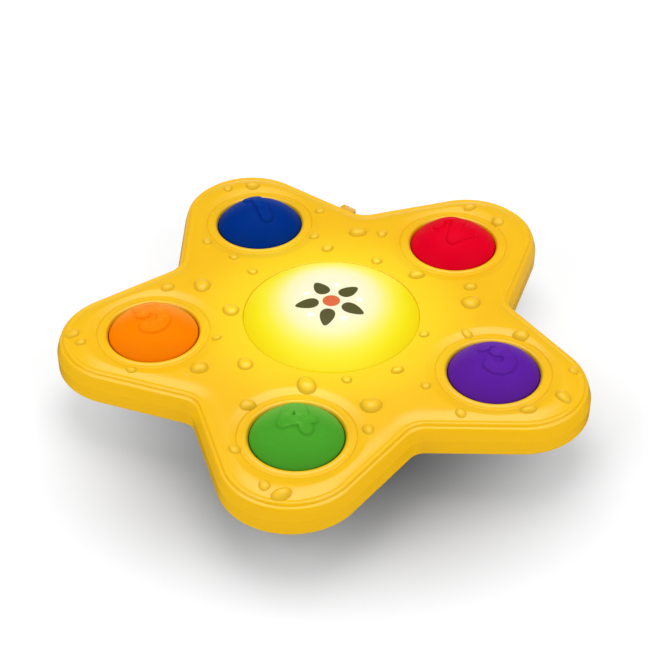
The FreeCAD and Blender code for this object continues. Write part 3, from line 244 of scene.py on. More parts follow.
# Camera, as fitted to the five openings
CAMERA_AZIMUTH = -25.391
CAMERA_ELEVATION = 39.209
CAMERA_ROLL = -0.185
CAMERA_DISTANCE = 811.23
CAMERA_TARGET = (-5.246, -4.054, 38.2)
CAMERA_LENS = 95.481
SENSOR_WIDTH = 36.0

# Distances in metres: nearer points are one point, and a shorter edge is none
WELD = 2e-6
SLIVER = 1e-7


# Curves and surfaces

def heading(x, y, degrees):
    """Plan distances along a direction, given in degrees from +X, and to its left."""
    c, s = np.cos(np.radians(degrees)), np.sin(np.radians(degrees))
    return x * c + y * s, y * c - x * s


def turned(points, degrees):
    """Plan points turned about the cup's axis."""
    return np.stack(heading(points[..., 0], points[..., 1], -degrees), -1)


def towards(radians):
    """Step of length 1 in a direction: its cosine and sine."""
    return np.array([math.cos(radians), math.sin(radians)])


TIP_CENTRE = BUTTON_CIRCLE + TIP_OFFSET
NOTCH_CENTRE = (NOTCH_REACH + NOTCH_RADIUS) * towards(HALF_STEP)


def flank():
    """Angle from an arm's axis to its flank's outward normal, and the flank's length.

    The flank is the straight line that touches both the tip arc and the notch arc.
    """
    along, across = NOTCH_CENTRE - (TIP_CENTRE, 0)
    apart, radii = math.hypot(along, across), TIP_RADIUS + NOTCH_RADIUS
    return math.atan2(across, along) - math.acos(radii / apart), math.sqrt(apart ** 2 - radii ** 2)


FLANK, FLANK_LENGTH = flank()


def circle_points(centre, radius, angles):
    """Points at the given angles: the centre plus the radius times cosine and sine."""
    return np.stack([centre[0] + radius * np.cos(angles), centre[1] + radius * np.sin(angles)], 1)


def line_points(start, end, count):
    """Evenly spaced points after the start, up to the end."""
    share = np.linspace(0, 1, count + 1)[1:, None]
    return np.asarray(start) + (np.asarray(end) - np.asarray(start)) * share


def half_outline(inset):
    """Half an arm's outline, drawn in by the inset: tip arc from the axis, flank, then half the notch arc."""
    tip = circle_points((TIP_CENTRE, 0), TIP_RADIUS - inset, np.linspace(0, FLANK, TIP_POINTS))
    notch = circle_points(NOTCH_CENTRE, NOTCH_RADIUS + inset,
                          np.linspace(math.pi + FLANK, math.pi + HALF_STEP, NOTCH_POINTS))
    return np.concatenate([tip, line_points(tip[-1], notch[0], FLANK_POINTS), notch[1:]])


def whole_loop(half):
    """Closed loop about the arm's axis: the half curve, then its mirror image backwards."""
    mirror = half[::-1][1:-1] * (1, -1)
    return np.concatenate([half, mirror])


def arm_angle(arm):
    """Direction of an arm in degrees: the arms follow each other clockwise from the first."""
    return FIRST_ARM - arm * ARM_STEP


def button_centre(arm):
    return BUTTON_CIRCLE * towards(math.radians(arm_angle(arm)))


def star_loop(inset):
    """The whole outline, arm after arm; each arm runs from its clockwise notch to its other notch."""
    half = half_outline(inset)
    arm = np.concatenate([(half * (1, -1))[::-1], half[1:-1]])
    return np.concatenate([turned(arm, FIRST_ARM + k * ARM_STEP) for k in range(ARMS)])


def curve_through(points, per_span):
    """Smooth curve through points: a cubic on each span, with slopes from the neighbouring points."""
    points = np.asarray(points, float)
    before = np.concatenate([[2 * points[0] - points[1]], points[:-2]])
    after = np.concatenate([points[2:], [2 * points[-1] - points[-2]]])
    t = np.linspace(0, 1, per_span, endpoint=False)[None, :, None]
    a, b, c, d = before[:, None], points[:-1, None], points[1:, None], after[:, None]
    span = 0.5 * (2 * b + (c - a) * t + (2 * a - 5 * b + 4 * c - d) * t ** 2
                  + (3 * b - a - 3 * c + d) * t ** 3)
    return np.concatenate([span.reshape(-1, points.shape[1]), points[-1:]])


def section(points, height):
    """Points of a section whose heights are over a given height."""
    return np.asarray(points, float) + (0.0, height)


def smoothstep(x):
    """0 up to 0, 1 from 1 on and three squares less two cubes of x between."""
    x = np.clip(x, 0, 1)
    return x * x * (3 - 2 * x)


def inset_of(u, v):
    """Distance inside the outline of points in an arm's frame, from its tip arc, flank or notch arc."""
    along, across = u - TIP_CENTRE, np.abs(v)
    normal = along * math.cos(FLANK) + across * math.sin(FLANK)
    passed = across * math.cos(FLANK) - along * math.sin(FLANK)
    to_notch = np.hypot(u - NOTCH_CENTRE[0], across - NOTCH_CENTRE[1]) - NOTCH_RADIUS
    inset = np.where(passed > FLANK_LENGTH, to_notch, TIP_RADIUS - normal)
    return np.where(np.arctan2(across, along) < FLANK, TIP_RADIUS - np.hypot(along, across), inset)


def top_height(u, v):
    """Top face in an arm's frame: a parabolic shoulder up to the flat, less the dish round the button.

    The dish is a cone from the groove up, bent flat by a parabola about its edge.
    """
    share = np.clip((inset_of(u, v) - CREASE) / (SHOULDER_END - CREASE), 0, 1)
    shoulder = TOP_Z - (TOP_RISE - CREASE_RISE) * (1 - share) ** 2
    from_button = np.hypot(u - BUTTON_CIRCLE, v)
    slope = (TOP_Z - DISH_LOW_Z) / (DISH_EDGE - GROOVE)
    bent = np.clip(DISH_EDGE + DISH_ROUND - from_button, 0, 2 * DISH_ROUND) ** 2 / (4 * DISH_ROUND)
    cone = np.clip(DISH_EDGE - DISH_ROUND - from_button, 0, None)
    dish = TOP_Z - slope * (bent + cone)
    return np.minimum(shoulder, dish)


def ceiling_height(u, v):
    """Ceiling inside the lid in an arm's frame: flat, and sloping down evenly towards the walls."""
    bend = WALL + CEILING_BEND
    share = np.clip((inset_of(u, v) - bend) / (SHOULDER_END - bend), 0, 1)
    return UNDERSIDE_Z - CEILING_DROP * (1 - share)


def surface_at(x, y):
    """Height of the top face at plan points, each read in its nearest arm's frame."""
    arm = np.round((FIRST_ARM - np.degrees(np.arctan2(y, x))) / ARM_STEP)
    return top_height(*heading(x, y, arm_angle(arm)))


def raised(plan, height):
    """Plan points with a height each."""
    height = np.broadcast_to(height, plan.shape[:-1])
    return np.concatenate([plan, height[..., None]], -1)


def grid(points):
    """A patch from points[row, column] = (x, y, z), closed from each row's last point to its first."""
    rows, columns = points.shape[:2]
    row = np.arange(rows - 1)[:, None] * columns
    here = np.arange(columns)[None, :]
    following = (here + 1) % columns
    faces = np.stack([row + here, row + following, row + columns + following, row + columns + here], -1)
    return points.reshape(-1, 3), faces.reshape(-1, 4)


def turned_profile(profile, count, centre=(0.0, 0.0)):
    """Surface of revolution: each (radius, height) of the profile becomes a ring about the centre."""
    angles = np.linspace(0, 2 * math.pi, count, endpoint=False)
    profile = np.asarray(profile, float)
    x = centre[0] + profile[:, :1] * np.cos(angles)
    y = centre[1] + profile[:, :1] * np.sin(angles)
    return raised(np.stack([x, y], -1), profile[:, 1:])


def piece(name, patches, body, slot, finish, stands_for=()):
    """Joins patches into one welded, smooth mesh that moves with a body and shows a finish."""
    points, faces, start = [], [], 0
    for patch_points, patch_faces in patches:
        points.append(patch_points)
        faces.append(patch_faces + start)
        start += len(patch_points)
    mesh = bpy.data.meshes.new(name)
    mesh.from_pydata((np.concatenate(points) * MM).tolist(), [], np.concatenate(faces).tolist())
    built = bmesh.new()
    built.from_mesh(mesh)
    bmesh.ops.remove_doubles(built, verts=built.verts, dist=WELD)
    bmesh.ops.dissolve_degenerate(built, edges=built.edges, dist=SLIVER)
    bmesh.ops.recalc_face_normals(built, faces=built.faces)
    built.to_mesh(mesh)
    built.free()
    mesh.polygons.foreach_set("use_smooth", np.ones(len(mesh.polygons), bool))
    mesh.update()
    made = bpy.data.objects.new(name, mesh)
    bpy.context.scene.collection.objects.link(made)
    mesh.materials.append(finish)
    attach(made, body)
    if stands_for:
        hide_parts(*stands_for)
    return made


# Shader nodes

class Socket:
    """An output socket; arithmetic on it adds Math nodes."""

    def __init__(self, finish, socket):
        self.finish = finish
        self.socket = socket

    def math(self, operation, *others):
        """Adds a Math node with this value first."""
        values = dict(enumerate((self,) + others))
        return self.finish.node("ShaderNodeMath", {"operation": operation}, values)

    def __add__(self, other):
        return self.math("ADD", other)

    def __sub__(self, other):
        return self.math("SUBTRACT", other)

    def __rsub__(self, other):
        return self.finish.node("ShaderNodeMath", {"operation": "SUBTRACT"}, {0: other, 1: self})

    def __mul__(self, other):
        return self.math("MULTIPLY", other)

    def __truediv__(self, other):
        return self.math("DIVIDE", other)

    __radd__ = __add__
    __rmul__ = __mul__

    def step(self, low, high):
        """0 below low, 1 above high and smooth between; falls instead where low is above high."""
        return self.finish.node("ShaderNodeMapRange", {"interpolation_type": "SMOOTHSTEP"},
                                {"Value": self, "From Min": low, "From Max": high})


def plan_distance(x, y):
    """Root of the sum of the squares of x and y."""
    return (x * x + y * y).math("SQRT")


class Nodes:
    """A node tree to which node() adds everything."""

    def __init__(self, tree):
        self.tree = tree

    def node(self, kind, settings=None, values=None, out=0):
        """Adds a node: its settings first, then the values or links of its input sockets."""
        made = self.tree.nodes.new(kind)
        for key, value in (settings or {}).items():
            if key == "stops":
                ramp = made.color_ramp
                for index, (place, colour) in enumerate(value):
                    stop = ramp.elements[index] if index < 2 else ramp.elements.new(place)
                    stop.position, stop.color = place, colour
            else:
                setattr(made, key, value)
        for key, value in (values or {}).items():
            if isinstance(value, Socket):
                self.tree.links.new(value.socket, made.inputs[key])
            else:
                made.inputs[key].default_value = value
        return Socket(self, made.outputs[out])

    def place(self):
        """Object coordinates, in metres."""
        return self.node("ShaderNodeTexCoord", out="Object")

    def axes(self):
        """Object coordinates as x, y and z in millimetres."""
        parts = self.node("ShaderNodeSeparateXYZ", values={0: self.place()}).socket.node
        return [Socket(self, output) / MM for output in parts.outputs]

    def noise(self, size, detail=2.0, place=None):
        """Noise between 0 and 1 with features of a size in millimetres."""
        return self.node("ShaderNodeTexNoise", {}, {"Vector": place or self.place(), "Scale": 1 / (size * MM),
                                                    "Detail": detail})

    def clouds(self, size, first, second):
        """Soft clouds of a size in millimetres, from one colour to another."""
        return self.mix(self.noise(size, 3.0), first, second)

    def uneven(self, middle, spread, size):
        """A value that wavers about its middle by half the spread either way."""
        return (self.noise(size) - 0.5) * spread + middle

    def worn(self, most):
        """Up to a share most on sharp outward edges, in patches, and 0 elsewhere."""
        corner = self.node("ShaderNodeNewGeometry", out="Pointiness").step(0.52, 0.60)
        return corner * self.noise(5.0, 3.0).step(0.35, 0.65) * most

    def mix(self, share, first, second):
        """Colour between two colours."""
        return self.node("ShaderNodeMix", {"data_type": "RGBA"}, {0: share, 6: first, 7: second}, out=2)

    def bump(self, height, distance):
        """Normal from a height between 0 and 1 that stands for a distance in millimetres."""
        return self.node("ShaderNodeBump", {}, {"Height": height, "Distance": distance * MM})


class Finish(Nodes):
    """A material with one Principled shader."""

    def __init__(self, name, **constants):
        self.material = bpy.data.materials.new(name)
        self.material.use_nodes = True
        super().__init__(self.material.node_tree)
        self.shader = self.tree.nodes["Principled BSDF"]
        for socket, value in constants.items():
            self.shader.inputs[socket.replace("_", " ")].default_value = value

    def put(self, **links):
        """Links values to the shader's sockets of the same names."""
        for key, value in links.items():
            self.tree.links.new(value.socket, self.shader.inputs[key.replace("_", " ")])
        return self.material


# Colours

def rgb(red, green, blue):
    return (red, green, blue, 1.0)


def grey(value):
    return rgb(value, value, value)


def scaled(colour, share):
    """The colour times a share, up to 1 in each channel."""
    return rgb(*(min(1.0, channel * share) for channel in colour[:3]))


def paler(colour):
    """The colour half way to white, as a rubbed edge shows it."""
    return rgb(*((1.0 + channel) / 2 for channel in colour[:3]))


# Golden shell: its clouds, the part lit by the lens as painted glow, painted shade in the gaps round caps and
# lens, and painted shade on steep sides
SHELL_DEEP = rgb(0.91, 0.515, 0.004)
SHELL_PALE = rgb(0.95, 0.54, 0.007)
SHELL_LIT = rgb(0.95, 0.63, 0.008)
SHELL_GAP_SHADE = rgb(0.42, 0.24, 0.0)
SHELL_SEAM_SHADE = rgb(0.50, 0.40, 0.0)
SHELL_STEEP_SHADE = rgb(0.94, 0.52, 0.001)
DROP_STEEP_SHADE = rgb(0.77, 0.47, 0.0)
SHELL_GLOW = rgb(0.03, 0.07, 0.004)
SHELL_GLOW_REACH = (76.0, LENS_RADIUS - 4.0)
SHELL_GAP_SHADE_REACH = (HOLE_RADIUS + 1.0, HOLE_RADIUS + 0.1)
SHELL_SEAM_SHADE_REACH = (LENS_HOLE + 0.3, LENS_HOLE)

# Caps in the order of the arms: name, colour and the paler colour of painted light on the back, which rubbed
# tops also take
CAP_COLOURS = [
    ("blue", rgb(0.0, 0.028, 0.23), rgb(0.004, 0.05, 0.36)),
    ("red", rgb(0.76, 0.0, 0.018), rgb(0.74, 0.0, 0.006)),
    ("purple", rgb(0.105, 0.014, 0.34), rgb(0.15, 0.034, 0.44)),
    ("green", rgb(0.066, 0.35, 0.024), rgb(0.17, 0.52, 0.07)),
    ("orange", rgb(0.98, 0.225, 0.0), rgb(0.97, 0.37, 0.045)),
]

# Where a cap has painted shade in front and painted light behind, away from its centre, where painted shade
# lies as it sinks into its opening, and where its top is rubbed
CAP_FRONT_SHADE = (-4.0, -26.0)
CAP_BACK_LIGHT = (-3.0, 19.0)
CAP_SUNK_SHADE = (CAP_EDGE_Z - 0.05, CAP_EDGE_Z - 0.45)
CAP_RUBBED = (CAP_APEX_Z - 0.6, CAP_APEX_Z + 0.9)

# Light in the lens, as a ramp out from a centre behind the middle, with its reach across and away
LENS_REFLECTED = 0.35
LENS_GLOW_AWAY = 4.5
LENS_GLOW_REACH = (26.0, 30.5)
LENS_GLOW_END = 1.62
LENS_GLOW = [
    (0.0, rgb(0.98, 0.955, 0.69)), (0.36, rgb(0.98, 0.945, 0.65)), (0.50, rgb(0.975, 0.935, 0.48)),
    (0.62, rgb(0.97, 0.90, 0.19)), (0.73, rgb(0.965, 0.865, 0.045)), (0.84, rgb(0.95, 0.81, 0.008)),
    (1.0, rgb(0.90, 0.69, 0.003))]

# Rosette on the lens: a petal on each arm's axis, a dot between them and a heart
PETAL_CIRCLE = 11.5
PETAL_SIZE = (5.6, 3.4)
PETAL_TAPER = 0.35
DOT_CIRCLE = 13.5
DOT_SIZE = (1.5, 1.5)
HEART_EDGE = (4.3, 4.0)
PRINT_EDGE = (1.06, 0.94)
PRINT_DARK = rgb(0.10, 0.095, 0.028)
PRINT_WHITE = rgb(1.0, 1.0, 0.97)
PRINT_RED = rgb(0.77, 0.16, 0.055)

# Cells, along their length from the middle: where the copper band starts and the jacket ends
CELL_BAND = (8.0, 8.3)
CELL_JACKET_END = (21.4, 21.6)


# Finishes

def plastic(name, colour, roughness, shine=0.5, cloud=25.0, grain=0.35, grain_height=0.004):
    """Moulded plastic: faint clouds of tone, uneven gloss, a fine skin and rubbed, paler edges."""
    finish = Finish(name, Specular_IOR_Level=shine)
    tone = finish.clouds(cloud, scaled(colour, 0.95), scaled(colour, 1.05))
    rub = finish.worn(0.25)
    tone = finish.mix(rub, tone, paler(colour))
    gloss = finish.uneven(roughness, roughness * 0.3, cloud / 6) + rub * 0.3
    skin = finish.bump(finish.noise(grain, 3.0), grain_height)
    return finish.put(Base_Color=tone, Roughness=gloss, Normal=skin)


def cap_finish(name, arm, colour, lit_back_and_rub):
    """Satin plastic with painted shade in front, painted light towards the back, painted shade where the cap
    sinks into its opening, rubbed on top.
    """
    finish = Finish(name, IOR=1.08)
    x, y, z = finish.axes()
    centre = button_centre(arm)
    away = heading(x - centre[0], y - centre[1], CAMERA_AZIMUTH)[1]
    tone = finish.clouds(14.0, scaled(colour, 0.95), scaled(colour, 1.05))
    # painted shade on the cap's front and painted light on its back
    tone = finish.mix(away.step(*CAP_FRONT_SHADE), tone, scaled(colour, 0.85))
    tone = finish.mix(away.step(*CAP_BACK_LIGHT), tone, lit_back_and_rub)
    # painted shade where the cap sinks into its opening
    tone = finish.mix(z.step(*CAP_SUNK_SHADE), tone, scaled(colour, 0.4))
    rub = z.step(*CAP_RUBBED) * finish.noise(3.0, 3.0).step(0.4, 0.7)
    tone = finish.mix(rub * 0.3, tone, scaled(lit_back_and_rub, 1.15))
    gloss = finish.uneven(0.45, 0.13, 2.4) + rub * 0.1
    skin = finish.bump(finish.noise(0.5, 3.0), 0.004)
    return finish.put(Base_Color=tone, Roughness=gloss, Normal=skin)


def shell_finish(name, roughness, steep_roughness, steep_facing, steep_shade_tone):
    """Glossy golden plastic, lit through from the lens along its rim as painted glow; steep sides take their
    own tone as painted shade.

    Shade is painted in the gaps round the caps and the lens. The angle about the nearest arm's axis gives the
    distance from that arm's button.
    """
    finish = Finish(name, IOR=1.46, Emission_Strength=1.0)
    x, y = finish.axes()[:2]
    from_lens = plan_distance(x, y)
    glow = from_lens.step(*SHELL_GLOW_REACH)
    tone = finish.clouds(30.0, SHELL_DEEP, SHELL_PALE)
    tone = finish.mix(glow, tone, SHELL_LIT)
    turns = y.math("ARCTAN2", x) / math.radians(ARM_STEP) - FIRST_ARM / ARM_STEP
    off_arm = (turns - turns.math("ROUND")) * math.radians(ARM_STEP)
    from_button = plan_distance(from_lens * off_arm.math("COSINE") - BUTTON_CIRCLE,
                                from_lens * off_arm.math("SINE"))
    # painted shade in the seam round the lens, where the glow is also held back
    seam_shade = from_lens.step(*SHELL_SEAM_SHADE_REACH)
    # painted shade in the gaps round the caps
    tone = finish.mix(from_button.step(*SHELL_GAP_SHADE_REACH), tone, SHELL_GAP_SHADE)
    tone = finish.mix(seam_shade, tone, SHELL_SEAM_SHADE)
    facing = finish.node("ShaderNodeSeparateXYZ", values={0: finish.node("ShaderNodeTexCoord", out="Normal")},
                         out="Z")
    # painted shade: steep sides take a deeper tone
    steep = facing.step(*steep_facing)
    tone = finish.mix(steep, tone, steep_shade_tone)
    light = finish.mix((glow - seam_shade) * (1.0 - steep), grey(0.0), SHELL_GLOW)
    rub = finish.worn(0.04)
    tone = finish.mix(rub, tone, paler(SHELL_PALE))
    gloss = finish.uneven(roughness, 0.06, 6.0) + steep * (steep_roughness - roughness) + rub
    skin = finish.bump(finish.noise(0.5), 0.001)
    return finish.put(Base_Color=tone, Emission_Color=light, Roughness=gloss, Normal=skin)


def petal(x, y, degrees, circle, size):
    """Mask of an oval that points away from the axis, narrower towards its outer end.

    It is where the squares of the distances along and across, as shares of its half sizes, add up to less
    than 1.
    """
    out, across = heading(x, y, degrees)
    along = (out - circle) / size[0]
    across = across / size[1]
    taper = 1.0 - along * PETAL_TAPER
    return (along * along + across * across / (taper * taper)).step(*PRINT_EDGE)


def petals(x, y, first, circle, size):
    """Mask of one petal for each arm, from a first direction round."""
    mask = petal(x, y, first, circle, size)
    for k in range(1, ARMS):
        mask = mask.math("MAXIMUM", petal(x, y, first + k * ARM_STEP, circle, size))
    return mask


def lens_finish():
    """Translucent yellow lens lit from inside, with a printed rosette of petals and dots."""
    finish = Finish("lens_lit", IOR=1.46, Specular_IOR_Level=0.12, Emission_Strength=1 - LENS_REFLECTED)
    x, y = finish.axes()[:2]
    across, away = heading(x, y, CAMERA_AZIMUTH)
    from_lamp = plan_distance(across / LENS_GLOW_REACH[0], (away - LENS_GLOW_AWAY) / LENS_GLOW_REACH[1])
    shown = finish.node("ShaderNodeValToRGB", {"stops": LENS_GLOW}, {0: from_lamp / LENS_GLOW_END})
    dark = petals(x, y, FIRST_ARM, PETAL_CIRCLE, PETAL_SIZE)
    dots = petals(x, y, FIRST_ARM + ARM_STEP / 2, DOT_CIRCLE, DOT_SIZE)
    heart = plan_distance(x, y).step(*HEART_EDGE)
    for mask, print_colour in ((dark, PRINT_DARK), (dots, PRINT_WHITE), (heart, PRINT_RED)):
        shown = finish.mix(mask, shown, print_colour)
    base = finish.mix(1 - LENS_REFLECTED, shown, grey(0.0))
    gloss = finish.uneven(0.33, 0.06, 9.0)
    skin = finish.bump(finish.noise(0.6), 0.001)
    return finish.put(Base_Color=base, Emission_Color=shown, Roughness=gloss, Normal=skin)


def metal(name, colour, roughness):
    """Plated steel: fine brushed streaks, small dull spots and bright rubbed edges."""
    finish = Finish(name, Metallic=1.0)
    stretched = finish.node("ShaderNodeMapping", {}, {"Vector": finish.place(), "Scale": (1.0, 14.0, 1.0)})
    streaks = finish.noise(1.2, 3.0, stretched)
    tone = finish.mix(streaks, scaled(colour, 0.85), scaled(colour, 1.1))
    rub = finish.worn(0.5)
    tone = finish.mix(rub, tone, paler(colour))
    gloss = finish.uneven(roughness, 0.15, 3.0) - rub * 0.2
    return finish.put(Base_Color=tone, Roughness=gloss, Normal=finish.bump(streaks, 0.01))


def silicone_finish():
    """Frosted soft silicone: cloudy body, satin skin with a faint ring texture."""
    finish = Finish("silicone_frosted", Subsurface_Weight=0.25, Subsurface_Scale=0.004)
    x, y = finish.axes()[:2]
    rings = (plan_distance(x, y) * 4.0).math("SINE") * 0.5 + 0.5
    tone = finish.clouds(14.0, rgb(0.56, 0.63, 0.68), rgb(0.66, 0.72, 0.76))
    return finish.put(Base_Color=tone, Roughness=finish.uneven(0.44, 0.12, 5.0),
                      Normal=finish.bump(rings, 0.01))


def board_finish():
    """Green laminate with fine copper tracks under the mask and tinned spots."""
    finish = Finish("laminate_green")
    tracks = finish.node("ShaderNodeTexBrick", {}, {"Vector": finish.place(), "Scale": 260.0,
                                                    "Mortar Size": 0.03}, out="Fac")
    tone = finish.mix(tracks, rgb(0.02, 0.16, 0.05), rgb(0.06, 0.30, 0.10))
    spots = finish.noise(2.4).step(0.70, 0.73)
    tone = finish.mix(spots, tone, rgb(0.62, 0.60, 0.52))
    return finish.put(Base_Color=tone, Roughness=finish.uneven(0.40, 0.1, 8.0),
                      Normal=finish.bump(tracks, 0.03))


def cell_finish():
    """Plain wrapped cell: dark jacket, a copper band at one end and bare steel caps."""
    finish = Finish("cell_wrap", Coat_Weight=0.4)
    x = finish.axes()[0]
    tone = finish.mix(x.step(*CELL_BAND), rgb(0.02, 0.022, 0.028), rgb(0.62, 0.30, 0.10))
    bare = x.math("ABSOLUTE").step(*CELL_JACKET_END)
    tone = finish.mix(bare, tone, grey(0.6))
    return finish.put(Base_Color=tone, Metallic=bare, Roughness=finish.uneven(0.30, 0.1, 4.0),
                      Normal=finish.bump(finish.noise(1.0), 0.006))


SHELL = shell_finish("shell_gloss", 0.25, 0.19, (0.85, 0.35), SHELL_STEEP_SHADE)
DROPS = shell_finish("drop_gloss", 0.30, 0.68, (0.93, 0.7), DROP_STEEP_SHADE)
LENS = lens_finish()
SILICONE = silicone_finish()
BASE = plastic("base_satin", rgb(0.34, 0.35, 0.36), 0.42, grain=0.4, grain_height=0.02)
KNOB = plastic("knob_satin", rgb(0.84, 0.44, 0.01), 0.32, grain_height=0.008)
WHITE = plastic("white_satin", rgb(0.84, 0.84, 0.80), 0.4)
RUBBER = plastic("rubber_grey", rgb(0.32, 0.33, 0.35), 0.6, grain_height=0.01)
RESIN = plastic("resin_black", rgb(0.018, 0.018, 0.02), 0.35, cloud=6.0)
LAMP = plastic("lamp_clear", rgb(0.9, 0.88, 0.74), 0.15, shine=0.8, cloud=3.0)
FOAM = plastic("foam_black", rgb(0.03, 0.03, 0.032), 0.85, grain=0.7, grain_height=0.12)
CARD = plastic("card_black", rgb(0.045, 0.045, 0.05), 0.8, grain=0.9, grain_height=0.08)
LEAD = plastic("lead_grey", rgb(0.42, 0.42, 0.44), 0.5)
STEEL = metal("steel_zinc", rgb(0.55, 0.56, 0.58), 0.35)
PLATED = metal("steel_nickel", rgb(0.62, 0.61, 0.58), 0.28)
BOARD = board_finish()
CELL = cell_finish()

NODE_FINISHES = {
    "bottom_shell": BASE, "battery_door": BASE, "light_reflector": WHITE, "cup_retainer": WHITE,
    "main_board": BOARD, "key_boards": BOARD, "sound_chip": RESIN, "switch_body": RESIN, "leds": LAMP,
    "board_screws": STEEL, "shell_screws": STEEL, "retainer_screws": STEEL, "door_screw": STEEL,
    "speaker_gasket": FOAM, "speaker_frame": PLATED, "speaker_magnet": PLATED, "speaker_cone": CARD,
    "contact_plates": PLATED, "contact_springs": PLATED, "key_leads": LEAD, "switch_knob": KNOB,
    "aaa_cell_1": CELL, "aaa_cell_2": CELL, "aaa_cell_3": CELL,
}
for node, finish in NODE_FINISHES.items():
    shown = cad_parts[node]
    shown.data.materials.clear()
    shown.data.materials.append(finish)


# Top shell

def lip_profile():
    """Section of a button opening's rim from under the top, up the hole, over the lip and into the groove."""
    hole = [(HOLE_RADIUS, UNDERSIDE_Z), (HOLE_RADIUS, RIM_Z + HOLE_TOP)]
    lip = curve_through(section(LIP_SECTION, RIM_Z), 2)
    return np.concatenate([hole, lip, section(GROOVE_SECTION, DISH_LOW_Z)])


def sector_boundary(lens_radius):
    """Edge of an arm's patch: outline at the crease, the bisector to the lens, the lens's circle."""
    outer = half_outline(CREASE)
    spoke = line_points(outer[-1], lens_radius * towards(HALF_STEP), SPOKE_POINTS)
    inner = circle_points((0, 0), lens_radius, np.linspace(HALF_STEP, 0, LENS_POINTS))
    return whole_loop(np.concatenate([outer, spoke, inner[1:]]))


def sector_rings(boundary, radii, shares):
    """Rings about a button: circles of the given radii, then shares of the way to the boundary."""
    reach = boundary - (BUTTON_CIRCLE, 0)
    distance = np.hypot(reach[:, 0], reach[:, 1])
    towards_boundary = reach / distance[:, None]
    circles = np.broadcast_to(np.asarray(radii)[:, None], (len(radii), len(boundary)))
    further = radii[-1] + np.asarray(shares)[:, None] * (distance - radii[-1])
    return np.concatenate([circles, further])[..., None] * towards_boundary + (BUTTON_CIRCLE, 0)


def top_patch(arm):
    """Upper face of one arm: the lip's section carried round, then the face's height at every point.

    Rows stand closer where the dish bends flat and near the outline.
    """
    lip = lip_profile()
    dish = np.concatenate([np.linspace(GROOVE + DISH_START, DISH_EDGE - DISH_ROUND, 6),
                           DISH_EDGE + DISH_ROUND * np.linspace(-0.7, 1, 7)])
    shares = np.linspace(0, 1, 17)[1:]
    shares = shares * (1.35 - 0.35 * shares)
    plan = sector_rings(sector_boundary(LENS_HOLE_TOP), np.concatenate([lip[:, 0], dish]), shares)
    height = top_height(plan[..., 0], plan[..., 1])
    height[:len(lip)] = lip[:, 1:]
    return grid(raised(turned(plan, arm_angle(arm)), height))


def ceiling_patch(arm):
    """Inside of the top of one arm, from the foot of the lip's section to the wall and the lens's hole."""
    foot = sector_rings(sector_boundary(LENS_HOLE_TOP), [HOLE_RADIUS], [])
    further = sector_rings(sector_boundary(LENS_HOLE), [CEILING_RING], np.linspace(0, 1, 5)[1:])
    plan = np.concatenate([foot, further])
    height = ceiling_height(plan[..., 0], plan[..., 1])
    height[:2] = UNDERSIDE_Z
    return grid(raised(turned(plan, arm_angle(arm)), height))


def edge_profile():
    """Outer edge as (inset, height): crease, bead, step, ledge, ridge, wall and foot, then up inside."""
    upper = curve_through(section(EDGE_SECTION, RIM_Z), 3)
    fall = section([WALL_END], EDGE_Z) - upper[-1]
    wall = upper[-1] + fall * np.linspace(0.05, 1, 6)[:, None]
    foot = curve_through(section(FOOT_SECTION, EDGE_Z), 3)
    ceiling_z = ceiling_height(TIP_CENTRE + TIP_RADIUS - CREASE, 0.0)
    inside = [(WALL, WALL_TOP_Z - WALL), (WALL + CEILING_BEND, UNDERSIDE_Z - CEILING_DROP),
              (CREASE, ceiling_z)]
    return np.concatenate([upper, wall, foot, inside])


def edge_patch():
    """The edge's section carried round the star."""
    return grid(np.array([raised(star_loop(inset), z) for inset, z in edge_profile()]))


def lens_hole_patch():
    """Rounded wall of the lens's hole, on the same angles as the arms' patches."""
    sector = np.linspace(-HALF_STEP, HALF_STEP, 2 * LENS_POINTS - 1)[:-1]
    angles = np.concatenate([sector + math.radians(FIRST_ARM + k * ARM_STEP) for k in range(ARMS)])
    bevel = 0.3 * LENS_HOLE_ROUND
    profile = [(LENS_HOLE_TOP, TOP_Z), (LENS_HOLE + bevel, TOP_Z - bevel),
               (LENS_HOLE, TOP_Z - LENS_HOLE_ROUND), (LENS_HOLE, UNDERSIDE_Z)]
    return grid(np.array([raised(circle_points((0, 0), radius, angles), z) for radius, z in profile]))


piece("top_lid", [top_patch(arm) for arm in range(ARMS)] + [ceiling_patch(arm) for arm in range(ARMS)]
      + [edge_patch(), lens_hole_patch()], "toy", "shell_yellow", SHELL, ["top_shell"])


# Bumps

def bump_patch(arm, place, generator):
    """Drop on the top face: rings of an oval, made uneven by two waves, raised by a steep-sided dome.

    The dome's height is rise * (1 - share ** fullness) ** steepness at a share of the way out. Its root goes
    straight down into the lid and closes there.
    """
    dx, dy, width, length, turn = place
    centre = button_centre(arm) + (dx, dy)
    angles = np.linspace(0, 2 * math.pi, BUMP_COLUMNS, endpoint=False)
    phase = generator.uniform(0, 2 * math.pi, 3)
    sway = 1 + BUMP_SWAY[0] * np.cos(2 * angles + phase[0]) + BUMP_SWAY[1] * np.cos(3 * angles + phase[1])
    share = np.append(np.sin(np.linspace(0, math.pi / 2, BUMP_ROWS)), [1.0, 0.0])[:, None]
    x = share * sway * width / 2 * np.cos(angles)
    y = share * sway * length / 2 * np.sin(angles)
    plan = turned(np.stack([x, y], -1), turn) + centre
    dome = BUMP_RISE_SHARE * width * (1 - share ** BUMP_FULLNESS) ** BUMP_STEEPNESS - BUMP_SUNK
    dome[BUMP_ROWS:] = -BUMP_ROOT
    return grid(raised(plan, surface_at(plan[..., 0], plan[..., 1]) + dome))


generator = np.random.default_rng(5)
piece("top_drops", [bump_patch(arm, place, generator) for arm in range(ARMS) for place in BUMPS[arm]],
      "toy", "shell_yellow", DROPS)


# Button caps

